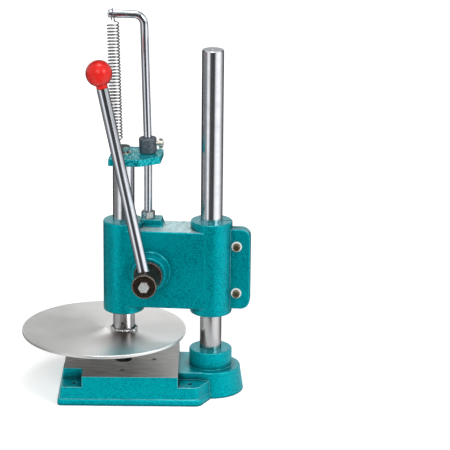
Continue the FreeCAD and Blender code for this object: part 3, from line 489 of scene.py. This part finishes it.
def tableMask(tree, place):
    # 1 on the bare iron of the base, 0 on the paint round it
    parts = addNode(tree, "ShaderNodeSeparateXYZ", links={"Vector": place})
    wander = addNode(tree, "ShaderNodeTexNoise", links={"Vector": place},
                     inputs={"Scale": perMetre(milling["wanderMm"])})
    edge = addNode(tree, "ShaderNodeMath", operation="MULTIPLY_ADD", links={0: wander.outputs["Fac"]},
                   inputs={1: 2 * milling["wander"] * mm, 2: -milling["wander"] * mm})
    right = addNode(tree, "ShaderNodeMath", operation="ADD",
                    links={0: parts.outputs["X"], 1: edge.outputs[0]})
    inside = addNode(tree, "ShaderNodeMath", operation="LESS_THAN", links={0: right.outputs[0]},
                     inputs={1: milling["right"] * mm})
    above = addNode(tree, "ShaderNodeMath", operation="GREATER_THAN", links={0: parts.outputs["Z"]},
                    inputs={1: milling["top"] * mm})
    milled = addNode(tree, "ShaderNodeMath", operation="MULTIPLY",
                     links={0: inside.outputs[0], 1: above.outputs[0]})
    reach = levelReach(tree, place, Vector(milling["centre"]) * mm)[1]
    inBore = addNode(tree, "ShaderNodeMath", operation="LESS_THAN", links={0: reach},
                     inputs={1: milling["bore"] * mm})
    inRing = addNode(tree, "ShaderNodeMath", operation="COMPARE", links={0: reach},
                     inputs={1: milling["ring"] * mm, 2: milling["hole"] * mm})
    within = addNode(tree, "ShaderNodeMath", operation="GREATER_THAN", links={0: parts.outputs["Z"]},
                     inputs={1: milling["underside"] * mm})
    drilled = addNode(tree, "ShaderNodeMath", operation="MAXIMUM",
                      links={0: inBore.outputs[0], 1: inRing.outputs[0]})
    drilled = addNode(tree, "ShaderNodeMath", operation="MULTIPLY",
                      links={0: drilled.outputs[0], 1: within.outputs[0]})
    return addNode(tree, "ShaderNodeMath", operation="MAXIMUM",
                   links={0: milled.outputs[0], 1: drilled.outputs[0]}).outputs[0]


def levelReach(tree, place, centre):
    # The level way and the distance from an upright axis to each point
    away = addNode(tree, "ShaderNodeVectorMath", operation="SUBTRACT", links={0: place},
                   inputs={1: (centre.x, centre.y, 0.0)})
    away = addNode(tree, "ShaderNodeVectorMath", operation="MULTIPLY", links={0: away.outputs[0]},
                   inputs={1: (1.0, 1.0, 0.0)})
    reach = addNode(tree, "ShaderNodeVectorMath", operation="LENGTH", links={0: away.outputs[0]})
    return away.outputs[0], reach.outputs["Value"]


# Milled cast iron. Its streaks are drawn wider than the cutter's real passes, so that they show
castIron = {
    "light": "B9B8B5", "dark": "34312F", "streakRange": [0.3, 0.7], "metallic": 0.8, "roughness": 0.45,
    "grooveMm": (26.0, 1.1, 1.1), "grooveDetail": 5.0, "grooveGrain": 0.65, "grooveStrength": 0.6,
    "grooveDepthMm": 0.15,
    "stain": "7C6A59", "stainMm": 34.0, "stainLevels": [0.5, 0.72, 0.0, 0.5],
    # This colour and its levels make the iron lighter towards the right, near the column
    "nearColumn": "E2E2E0", "nearColumnLevels": [0.0, 0.06, 0.0, 0.45],
}


def machinedTable(tree, shader, place, mask, colour, normal, coat):
    # Milled cast iron: dark grey, with the cutter's passes along X and a few brown stains
    streaks, grooves = grooved(tree, place, castIron)
    contrast = addNode(tree, "ShaderNodeMapRange", links={"Value": streaks},
                       inputs=span(*castIron["streakRange"]))
    iron = addNode(tree, "ShaderNodeMix", data_type="RGBA", links={0: contrast.outputs[0]},
                   inputs={6: toLinear(castIron["dark"]), 7: toLinear(castIron["light"])}).outputs[2]
    stains = addNode(tree, "ShaderNodeTexNoise", links={"Vector": place},
                     inputs={"Scale": perMetre(castIron["stainMm"]), "Detail": 6.0, "Roughness": 0.62})
    iron = toned(tree, iron, stains.outputs["Fac"], castIron["stainLevels"], castIron["stain"])
    # Lighter towards the right, near the column
    parts = addNode(tree, "ShaderNodeSeparateXYZ", links={"Vector": place})
    iron = toned(tree, iron, parts.outputs["X"], castIron["nearColumnLevels"], castIron["nearColumn"])
    both = addNode(tree, "ShaderNodeMix", data_type="RGBA", links={0: mask, 6: colour, 7: iron})
    normals = addNode(tree, "ShaderNodeMix", data_type="VECTOR", links={0: mask, 4: normal, 5: grooves})
    tint = addNode(tree, "ShaderNodeMix", data_type="RGBA", links={0: mask},
                   inputs={6: toLinear(paint["sheen"]), 7: (1, 1, 1, 1)})
    tree.links.new(tint.outputs[2], shader.inputs["Specular Tint"])
    for key in ("metallic", "roughness"):
        level = addNode(tree, "ShaderNodeMapRange", links={"Value": mask},
                        inputs=span(0.0, 1.0, paint[key], castIron[key]))
        tree.links.new(level.outputs[0], shader.inputs[key.capitalize()])
    painted = addNode(tree, "ShaderNodeMath", operation="SUBTRACT", inputs={0: 1.0}, links={1: mask})
    coat = addNode(tree, "ShaderNodeMath", operation="MULTIPLY", links={0: coat, 1: painted.outputs[0]})
    return both.outputs[2], normals.outputs[1], coat.outputs[0]


# Bare steel bars. Their rings are drawn wider than the grinder's, so that they show
bar = {
    "patchMm": 14.0, "grooveDetail": 4.0, "grooveGrain": 0.7, "grooveStrength": 0.5, "lowerTone": None,
    "outline": (0.12, 0.12, 0.13, 1.0), "levelFrom": 0.85, "levelTint": (0.9, 0.9, 0.9, 1.0),
    "levelRoughness": 0.5,
}
bars = {
    # Ground steel: clean stripes of the room, and a greyer colour below the head's underside
    "groundSteel": {"on": ["column", "ram"], "light": "D8DBE0", "dark": "CDD0D4",
                    "roughness": [0.144, 0.184], "grooveMm": (40.0, 40.0, 0.35),
                    "grooveDepthMm": 0.003,
                    # The colour and levels on this line make the bar greyer below the head's underside
                    "lowerTone": "B6B6B7", "lowerToneLevels": [0.125, 0.15, 1.0, 0.0]},
    # Polished steel: the same, sharper and a little bluer
    "polishedBar": {"on": ["spring_rod", "lever_rod"], "light": "D6DAE2", "dark": "CDD1DA",
                    "roughness": [0.117, 0.1495], "grooveMm": (40.0, 40.0, 0.5),
                    "grooveDepthMm": 0.002},
}


def barSteel(name, changes):
    # Bare steel bar: fine rings round it, faint oily patches and a darker outline
    look = {**bar, **changes}
    material, tree, shader, place = startMaterial(name, Metallic=1.0)
    colour, rough = mottled(tree, place, look)[:2]
    # Greyer below the head's underside
    if look["lowerTone"]:
        parts = addNode(tree, "ShaderNodeSeparateXYZ", links={0: place})
        colour = toned(tree, colour, parts.outputs["Z"], look["lowerToneLevels"], look["lowerTone"])
    # The outline is only on the round sides: a level end was faced, so it is duller and stays light
    surface = addNode(tree, "ShaderNodeNewGeometry")
    upwards = addNode(tree, "ShaderNodeSeparateXYZ", links={0: surface.outputs["Normal"]})
    level = addNode(tree, "ShaderNodeMath", operation="GREATER_THAN", links={0: upwards.outputs["Z"]},
                    inputs={1: look["levelFrom"]})
    tint = addNode(tree, "ShaderNodeMix", data_type="RGBA", links={0: level.outputs[0]},
                   inputs={6: look["outline"], 7: look["levelTint"]})
    rough = addNode(tree, "ShaderNodeMix", data_type="FLOAT", links={0: level.outputs[0], 2: rough},
                    inputs={3: look["levelRoughness"]})
    tree.links.new(tint.outputs[2], shader.inputs["Specular Tint"])
    tree.links.new(colour, shader.inputs["Base Color"])
    tree.links.new(rough.outputs[0], shader.inputs["Roughness"])
    tree.links.new(grooved(tree, place, look)[1], shader.inputs["Normal"])
    return material


# Faced steel disc. The tool's rings are drawn wider than they are, so that they show
plates = {
    "turnedPlate": {
        "on": ["press_plate"], "light": "D0D0CE", "dark": "C8C7C5", "patchMm": 30.0,
        "roughness": [0.31, 0.35], "anisotropy": 0.7, "ringMm": 0.8, "ringDepthMm": 0.02,
        # The fan colour, way and range make a painted sheen, lighter on the disc's right
        "fan": "FFFDFC", "fanWay": (0.96, -0.28, 0.0), "fanRange": [-0.4, 0.9],
        # Next two lines: a painted reflection of the ram and the head, darker in front of the ram
        "ramReflection": "503C36", "ramReflectionWay": (0.0, -1.0, 0.0), "ramReflectionRange": [0.55, 1.0],
        "ramReflectionLevels": [0.012, 0.105, 1.0, 0.0],
    },
}


def towards(tree, away, way, levels):
    # How far each point lies towards the given way, from 0 to 1
    outwards = addNode(tree, "ShaderNodeVectorMath", operation="NORMALIZE", links={0: away})
    side = addNode(tree, "ShaderNodeVectorMath", operation="DOT_PRODUCT", links={0: outwards.outputs[0]},
                   inputs={1: way})
    return addNode(tree, "ShaderNodeMapRange", links={"Value": side.outputs["Value"]},
                   interpolation_type="SMOOTHSTEP", inputs=span(*levels)).outputs[0]


def turnedPlate(name, look):
    # Faced steel disc: the tool's rings about its centre turn the sheen into a fan of light
    material, tree, shader, place = startMaterial(name, Metallic=1.0, Anisotropic=look["anisotropy"])
    away, radius = levelReach(tree, place, middleOf("press_plate"))
    along = addNode(tree, "ShaderNodeVectorMath", operation="CROSS_PRODUCT", links={0: away},
                    inputs={1: (0.0, 0.0, 1.0)})
    tangent = addNode(tree, "ShaderNodeVectorMath", operation="NORMALIZE", links={0: along.outputs[0]})
    ringPlace = addNode(tree, "ShaderNodeCombineXYZ", links={"X": radius})
    rings = addNode(tree, "ShaderNodeTexNoise", links={"Vector": ringPlace.outputs[0]},
                    inputs={"Scale": perMetre(look["ringMm"]), "Detail": 4.0, "Roughness": 0.7})
    grooves = addNode(tree, "ShaderNodeBump", links={"Height": rings.outputs["Fac"]},
                      inputs={"Strength": 0.4, "Distance": look["ringDepthMm"] * mm})
    colour, rough = mottled(tree, place, look)[:2]
    # Painted sheen: the colour goes lighter to the right of the ram, where the fan of light is brightest
    fan = towards(tree, away, look["fanWay"], look["fanRange"])
    colour = addNode(tree, "ShaderNodeMix", data_type="RGBA", links={0: fan, 6: colour},
                     inputs={7: toLinear(look["fan"])})
    # Painted reflection: a darker, brownish colour in front of the ram, where the steel mirrors the ram
    # and the head
    fromRam, reach = levelReach(tree, place, middleOf("ram"))
    fade = addNode(tree, "ShaderNodeMapRange", links={"Value": reach}, interpolation_type="SMOOTHSTEP",
                   inputs=span(*look["ramReflectionLevels"]))
    ahead = towards(tree, fromRam, look["ramReflectionWay"], look["ramReflectionRange"])
    ramReflection = addNode(tree, "ShaderNodeMath", operation="MULTIPLY", links={0: fade.outputs[0], 1: ahead})
    colour = addNode(tree, "ShaderNodeMix", data_type="RGBA",
                     links={0: ramReflection.outputs[0], 6: colour.outputs[2]},
                     inputs={7: toLinear(look["ramReflection"])})
    tree.links.new(tangent.outputs[0], shader.inputs["Tangent"])
    tree.links.new(colour.outputs[2], shader.inputs["Base Color"])
    tree.links.new(rough, shader.inputs["Roughness"])
    tree.links.new(grooves.outputs[0], shader.inputs["Normal"])
    return material


# Small metal pieces: what they share, and what each finish gives the eye
smallPiece = {"metallic": 1.0, "tint": (0.4, 0.4, 0.4, 1.0), "grain": 0.65, "bumpMm": 0.0,
              "edge": None, "edgeMm": 0.5, "edgeLevels": [0.995, 0.9, 0.0, 1.0]}
smallMetals = {
    # Bead as welded: light and dark patches with small bumps
    "weldedSteel": {"on": ["weld_bead"], "light": "E2E2E1", "dark": "63605C", "patchMm": 1.6,
                    "roughness": [0.176, 0.286], "bumpMm": 0.5},
    # Bright zinc plate: pale and a little mottled
    "zincPlate": {"on": ["rod_nut"], "light": "C6CBCA", "dark": "8C9291", "patchMm": 2.5,
                  "roughness": [0.16, 0.26], "bumpMm": 0.12},
    # Zinc gone dull: mat and greyer
    "dullZinc": {"on": ["lever_lock_bolt"], "light": "CDD1D0", "dark": "8A908F", "patchMm": 1.4,
                 "roughness": [0.32, 0.52], "bumpMm": 0.12, "metallic": 0.35},
    # Zinc: darker, with a glossy shine
    "darkZinc": {"on": ["yoke_bolt"], "light": "8F9A98", "dark": "56605F", "patchMm": 2.0,
                  "roughness": [0.16, 0.26], "bumpMm": 0.1},
    # Thin chromate on zinc: pale and yellowish
    "paleZinc": {"on": ["wing_screw", "yoke_washer"], "light": "E4E1D6", "dark": "A8A494",
                 "patchMm": 1.5, "roughness": [0.224, 0.364], "bumpMm": 0.05, "metallic": 0.8},
    # The washers' zinc: white and mat
    "zincWasher": {"on": ["clamp_washers"], "light": "FAFBFA", "dark": "DCDEDD", "patchMm": 2.5,
                   "roughness": [0.36, 0.585], "bumpMm": 0.05, "metallic": 0.2},
    # Drawn spring wire: grey, with darker lengths
    "springWire": {"on": ["return_spring"], "light": "B0B1B4", "dark": "55565A", "patchMm": 3.0,
                   "roughness": [0.16, 0.26]},
    # Blackened steel: brown black, with its corners worn bright
    "blackOxide": {"on": ["column_set_screws", "cover_screws", "shaft_collar", "shaft_circlip"],
                   "light": "5C5452", "dark": "2B2725", "patchMm": 3.0, "roughness": [0.272, 0.442],
                   "bumpMm": 0.08, "metallic": 0.7, "edge": "B8B2AA"},
    # The same on the shaft: browner and more worn
    "wornBlack": {"on": ["pinion_shaft"], "light": "54463B", "dark": "1A1716", "patchMm": 3.2,
                  "roughness": [0.24, 0.39], "bumpMm": 0.15, "metallic": 0.75, "edge": "D6CDC2",
                  "edgeMm": 1.1},
    # Blued steel: slate grey
    "blueBlack": {"on": ["stop_collar"], "light": "667079", "dark": "4A4F55", "patchMm": 3.0,
                  "roughness": [0.32, 0.52], "bumpMm": 0.08, "metallic": 0.5, "edge": "A7ADB2"},
    # Yellow zinc: dark brass
    "yellowZinc": {"on": ["clamp_screws"], "light": "8E8468", "dark": "4A4438", "patchMm": 2.0,
                   "roughness": [0.272, 0.442], "bumpMm": 0.05, "metallic": 0.8},
    # Turned bronze: warm, with a soft shine
    "bushBronze": {"on": ["front_bush", "rear_bush"], "light": "C79A55", "dark": "A87C3E",
                   "patchMm": 4.0, "roughness": [0.24, 0.39]},
    # Cut gear steel under oil: plain mid grey
    "gearSteel": {"on": ["pinion_gear", "gear_key"], "light": "8E8E8E", "dark": "6F6E6C",
                  "patchMm": 4.0, "roughness": [0.272, 0.442], "bumpMm": 0.02},
}


def smallMetal(name, changes):
    # Plated, blackened or bare steel, with patches and softened corners
    look = {**smallPiece, **changes}
    material, tree, shader, place = startMaterial(name, Metallic=look["metallic"],
                                                  Specular_Tint=look["tint"])
    colour, rough, patches = mottled(tree, place, look)
    rounded = addNode(tree, "ShaderNodeBevel", samples=4,
                      inputs={"Radius": look["edgeMm"] * mm}).outputs[0]
    if look["edge"]:
        colour = edgeWearAndHighlight(tree, colour, rounded, look["edgeLevels"], look["edge"])
    bumps = addNode(tree, "ShaderNodeBump", links={"Height": patches, "Normal": rounded},
                    inputs={"Strength": 0.5, "Distance": look["bumpMm"] * mm})
    tree.links.new(colour, shader.inputs["Base Color"])
    tree.links.new(rough, shader.inputs["Roughness"])
    tree.links.new(bumps.outputs[0], shader.inputs["Normal"])
    return material


knobs = {
    "knobPlastic": {
        "on": ["ball_knob"], "light": "DE2420", "dark": "CC1C1A", "patchMm": 9.0, "detail": 4.0,
        "dullRange": [0.3, 0.8], "roughness": [0.26, 0.4], "ior": 1.5, "sheen": "E08070",
        "coat": 0.3, "coatRoughness": 0.2,
        # The blend, levels and colour on this line are a painted shade at the ball's outline
        "rimShadeBlend": 0.35, "rimShadeLevels": [0.25, 0.9], "rimShade": "8C1014",
    },
}


def knobPlastic(name, look):
    # Moulded phenolic ball: deep red, soft gloss, a few dull finger marks
    material, tree, shader, place = startMaterial(
        name, IOR=look["ior"], Specular_IOR_Level=0.5, Specular_Tint=toLinear(look["sheen"]),
        Coat_Weight=look["coat"], Coat_Roughness=look["coatRoughness"])
    colour, rough = mottled(tree, place, look)[:2]
    # Painted shade: the colour darkens towards the ball's outline as seen from the camera
    facing = addNode(tree, "ShaderNodeLayerWeight", inputs={"Blend": look["rimShadeBlend"]})
    colour = toned(tree, colour, facing.outputs["Facing"], look["rimShadeLevels"], look["rimShade"])
    tree.links.new(colour, shader.inputs["Base Color"])
    tree.links.new(rough, shader.inputs["Roughness"])
    return material


def dressNodes():
    # Makes every finish and puts it on its solids
    made = {}
    for make, looks in ((hammeredPaint, castings), (barSteel, bars), (turnedPlate, plates),
                        (smallMetal, smallMetals), (knobPlastic, knobs)):
        for finish, look in looks.items():
            made[finish] = make(finish, look)
            for name in look["on"]:
                mesh = nodes[name].data
                mesh.materials.clear()
                mesh.materials.append(made[finish])
    return made


finishes = dressNodes()
print("finishes made:", len(finishes))


# Pieces made here in place of a CAD solid, where the real one is smoother or less regular

sharpDegrees = 32


def finishPiece(made, finish, body, node):
    # Smooth faces with sharp corners, the finish, the body it moves with, and the solid it stands for
    mesh = made.data
    mesh.polygons.foreach_set("use_smooth", [True] * len(mesh.polygons))
    mesh.set_sharp_from_angle(angle=math.radians(sharpDegrees))
    mesh.materials.append(finishes[finish])
    if body:
        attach(made, body)
    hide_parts(node)


def turnedPiece(name, outline, place, steps):
    # Spins an outline of (radius, height) in millimetres round an upright axis, then puts it in place
    shape = bmesh.new()
    corners = [shape.verts.new((radius * mm, 0, height * mm)) for radius, height in outline]
    lines = [shape.edges.new(pair) for pair in zip(corners, corners[1:])]
    bmesh.ops.spin(shape, geom=[*corners, *lines], cent=(0, 0, 0), axis=(0, 0, 1), dvec=(0, 0, 0),
                   angle=2 * math.pi, steps=steps, use_merge=True, use_duplicate=False)
    bmesh.ops.remove_doubles(shape, verts=shape.verts, dist=0.00001)
    bmesh.ops.recalc_face_normals(shape, faces=shape.faces)
    bmesh.ops.transform(shape, matrix=place, verts=shape.verts)
    return newObject(name, shape)


def evaluatedMesh(drawn):
    bpy.context.view_layer.update()
    return bpy.data.meshes.new_from_object(drawn.evaluated_get(bpy.context.evaluated_depsgraph_get()))


def barAlong(name, path, radiusMm, sides):
    # A round bar along points of the head's frame: each has its place and its share of the radius
    data = bpy.data.curves.new(name, "CURVE")
    data.dimensions = "3D"
    data.bevel_depth = radiusMm * mm
    data.bevel_resolution = sides // 2 - 2
    data.use_fill_caps = True
    line = data.splines.new("POLY")
    line.points.add(len(path) - 1)
    for point, (place, share) in zip(line.points, path):
        point.co = (*(place * mm), 1.0)
        point.radius = share
    drawn = bpy.data.objects.new(name, data)
    bpy.context.collection.objects.link(drawn)
    mesh = evaluatedMesh(drawn)
    bpy.data.objects.remove(drawn)
    mesh.transform(headFrame)
    made = bpy.data.objects.new(name, mesh)
    bpy.context.collection.objects.link(made)
    return made


columnBar = {"chamfer": 1.2, "markRadius": 1.3, "markDepth": 1.3, "steps": 128}


def addColumnBar():
    low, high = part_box("column")
    radius = (high.x - low.x) / 2 / mm
    length = (high.z - low.z) / mm
    chamfer = columnBar["chamfer"]
    outline = [(0, 0), (radius - chamfer, 0), (radius, chamfer), (radius, length - chamfer),
               (radius - chamfer, length), (columnBar["markRadius"], length),
               (0, length - columnBar["markDepth"])]
    place = Matrix.Translation((columnPlace.x, columnPlace.y, low.z))
    made = turnedPiece("columnBar", outline, place, columnBar["steps"])
    finishPiece(made, "groundSteel", "column", "column")


# Along the lever from the shaft's axis, towards the ball
leverBar = {"plane": 77.5, "degrees": 12.2, "radius": 8.0, "start": -9.0, "end": 276.5, "chamfer": 0.8,
            "spigotRadius": 5.0, "spigotLength": 16.0, "steps": 96}


def addLeverBar():
    radius, chamfer, start, end = (leverBar[key] for key in ("radius", "chamfer", "start", "end"))
    spigot = leverBar["spigotRadius"]
    top = end + leverBar["spigotLength"]
    outline = [(0, start), (radius - chamfer, start), (radius, start + chamfer), (radius, end - chamfer),
               (radius - chamfer, end), (spigot, end), (spigot, top), (0, top)]
    place = (Matrix.Translation(leverPlace + leverAxis * leverBar["plane"] * mm)
             @ Matrix.Rotation(headTurn, 4, "Z")
             @ Matrix.Rotation(math.radians(-leverBar["degrees"]), 4, "Y"))
    made = turnedPiece("leverBar", outline, place, leverBar["steps"])
    finishPiece(made, "polishedBar", "lever", "lever_rod")


# The spring's rod, in the head's frame: up from the pad, leaning back a little, then over to the left
springRod = {
    "x": -88.8, "y": 6.0, "radius": 5.5, "foot": 214.0, "sides": 48,
    "leanStart": 334.0, "leanDegrees": 1.75, "leanRadius": 150.0, "leanSteps": 4,
    "arm": 532.3, "cornerRadius": 14.0, "cornerSteps": 28, "armEnd": -144.0,
    "relief": [256.1, 257.7], "reliefShare": 0.86, "reliefTaper": 0.3,
    "neck": [-134.5, -134.9, -137.9, -138.3], "neckShare": 0.9,
    "endRounding": 2.2, "endSteps": 6,
}


def arcPoints(start, corner, end, steps):
    # A bend from start to end whose ends run along the lines through the corner
    half = (start - corner).angle(end - corner) / 2
    middle = corner + ((start + end) / 2 - corner) / math.cos(half) ** 2
    points = []
    for index in range(steps + 1):
        turn = Quaternion((start - corner).cross(end - corner), (math.pi - 2 * half) * index / steps)
        points.append(middle + turn.inverted() @ (start - middle))
    return points


def addSpringRod():
    rod = springRod
    tilt = math.radians(rod["leanDegrees"])
    up = Vector((0, 0, 1))
    left = Vector((-1, 0, 0))
    lean = Vector((-math.sin(tilt), 0, math.cos(tilt)))
    bend = Vector((rod["x"], rod["y"], rod["leanStart"]))
    elbow = bend + lean * (rod["arm"] - bend.z) / lean.z
    bendReach = rod["leanRadius"] * math.tan(tilt / 2)
    elbowReach = rod["cornerRadius"] * math.tan((math.pi / 2 - tilt) / 2)
    low, high = rod["relief"]
    taper = rod["reliefTaper"]
    heights = [(rod["foot"], 1.0), (low - taper, 1.0), (low, rod["reliefShare"]),
               (high, rod["reliefShare"]), (high + taper, 1.0)]
    path = [(Vector((rod["x"], rod["y"], height)), share) for height, share in heights]
    bends = arcPoints(bend - up * bendReach, bend, bend + lean * bendReach, rod["leanSteps"])
    bends += arcPoints(elbow - lean * elbowReach, elbow, elbow + left * elbowReach, rod["cornerSteps"])
    path += [(point, 1.0) for point in bends]
    necks = zip(rod["neck"], (1.0, rod["neckShare"], rod["neckShare"], 1.0))
    path += [(Vector((x, rod["y"], rod["arm"])), share) for x, share in necks]
    rounding, steps = rod["endRounding"], rod["endSteps"]
    for index in range(steps + 1):
        angle = math.pi / 2 * index / steps
        x = rod["armEnd"] + rounding * (1 - math.sin(angle))
        share = 1 - rounding / rod["radius"] * (1 - math.cos(angle))
        path.append((Vector((x, rod["y"], rod["arm"])), share))
    made = barAlong("springRodBar", path, rod["radius"], rod["sides"])
    finishPiece(made, "polishedBar", "head", "spring_rod")


# The return spring, in the head's frame. The coil goes up anticlockwise from the right-hand side.
# A hook's soft bends go through places, each passed along its way
springWire = {
    "radius": 0.9, "sides": 10, "coilRadius": 7.85, "turns": 36, "perTurn": 28,
    "coilFoot": (-131.8, 0.0, 360.5), "coilHead": (-137.0, 6.0, 518.4),
    "hookRadius": 6.4, "hookSteps": 24, "pull": 0.38,
    "bolt": (-122.2, 0.0, 341.7), "boltRing": [160, -105], "offRing": (-0.97, 0.26, 0.0),
    "beside": (-131.2, -4.9, 341.9), "besideWay": (-0.93, 0.3, 0.2),
    "risen": (-133.6, -2.8, 348.2), "risenWay": (0.05, 0.0, 1.0),
    "arm": (-137.0, 6.0, 532.3), "offCoil": (0.0, 0.0, 0.35),
    "over": (-131.6, 5.0, 521.4), "overWay": (-1.0, -0.3, 0.05),
    "rise": (-134.7, -0.4, 526.8), "riseWay": (-0.15, 0.0, 1.0),
    "frontX": -136.3, "backX": -139.4, "hookWay": (0.0, 0.0, -1.0),
    "freeEnd": (-139.6, 11.2, 522.0), "freeWay": (0.0, -0.2, -1.0),
}


def smoothRun(start, startWay, end, endWay, steps):
    # A soft bend between two places, leaving and arriving along the given ways, without its start
    pull = (end - start).length * springWire["pull"]
    return interpolate_bezier(start, start + startWay.normalized() * pull,
                              end - endWay.normalized() * pull, end, steps)[1:]


def coilPoints(foot, head):
    axis = (head - foot).normalized()
    side = (Vector((1, 0, 0)) - axis * axis.x).normalized()
    across = axis.cross(side)
    points = []
    count = springWire["turns"] * springWire["perTurn"]
    for index in range(count + 1):
        angle = 2 * math.pi * index / springWire["perTurn"]
        out = side * math.cos(angle) + across * math.sin(angle)
        points.append(foot.lerp(head, index / count) + out * springWire["coilRadius"])
    return points, across


def addSpringWire():
    wire = {key: Vector(value) if isinstance(value, tuple) else value
            for key, value in springWire.items()}
    radius, steps = wire["hookRadius"], wire["hookSteps"]
    coil, across = coilPoints(wire["coilFoot"], wire["coilHead"])
    first, last = (math.radians(angle) for angle in wire["boltRing"])
    path = []
    for index in range(steps + 1):
        angle = first + (last - first) * index / steps
        path.append(wire["bolt"] + Vector((math.cos(angle), math.sin(angle), 0)) * radius)
    path += smoothRun(path[-1], wire["offRing"], wire["beside"], wire["besideWay"], 6)
    path += smoothRun(wire["beside"], wire["besideWay"], wire["risen"], wire["risenWay"], 12)
    path += smoothRun(wire["risen"], wire["risenWay"], coil[0], across, 14)
    path += coil[1:]
    # Over the coil's end to the front of the arm, then round it and down to the free end
    path += smoothRun(coil[-1], across + wire["offCoil"], wire["over"], wire["overWay"], 10)
    path += smoothRun(wire["over"], wire["overWay"], wire["rise"], wire["riseWay"], 12)
    arm = wire["arm"]
    for index in range(steps + 1):
        angle = math.pi * index / steps
        x = wire["frontX"] + (wire["backX"] - wire["frontX"]) * index / steps
        path.append(Vector((x, arm.y - math.cos(angle) * radius, arm.z + math.sin(angle) * radius)))
    path += smoothRun(path[-1], wire["hookWay"], wire["freeEnd"], wire["freeWay"], 8)
    made = barAlong("springWireCoil", [(Vector(point), 1.0) for point in path], wire["radius"],
                    wire["sides"])
    finishPiece(made, "springWire", None, "return_spring")
    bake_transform(made)


weldPuddles = {
    "count": 26, "seed": 11, "turn": [-0.25, 0.25], "ring": 1.3, "ringChange": [-0.5, 0.6],
    "height": 1.0, "lift": [-0.2, 1.2], "radii": [2.5, 3.5], "voxel": 0.5, "smoothing": 2,
}


def addWeldBead():
    # Overlapping drops of weld round the ram, run together by a fine remesh
    puddles = weldPuddles
    centre = middleOf("weld_bead")
    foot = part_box("weld_bead")[0].z
    low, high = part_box("ram")
    ramRadius = (high.y - low.y) / 2 / mm
    chance = random.Random(puddles["seed"])
    shape = bmesh.new()
    for index in range(puddles["count"]):
        angle = 2 * math.pi * (index + chance.uniform(*puddles["turn"])) / puddles["count"]
        reach = ramRadius + puddles["ring"] + chance.uniform(*puddles["ringChange"])
        rise = puddles["height"] + chance.uniform(*puddles["lift"])
        place = Vector((centre.x + reach * mm * math.cos(angle), centre.y + reach * mm * math.sin(angle),
                        foot + rise * mm))
        bmesh.ops.create_icosphere(shape, subdivisions=3, radius=chance.uniform(*puddles["radii"]) * mm,
                                   matrix=Matrix.Translation(place))
    made = newObject("weldPuddles", shape)
    remesh = made.modifiers.new("remesh", "REMESH")
    remesh.mode = "VOXEL"
    remesh.voxel_size = puddles["voxel"] * mm
    smooth = made.modifiers.new("smooth", "SMOOTH")
    smooth.iterations = puddles["smoothing"]
    mesh = evaluatedMesh(made)
    made.modifiers.clear()
    made.data = mesh
    finishPiece(made, "weldedSteel", "ram", "weld_bead")


addColumnBar()
addLeverBar()
addSpringRod()
addSpringWire()
addWeldBead()
print("bars, spring and weld made")

print("done")
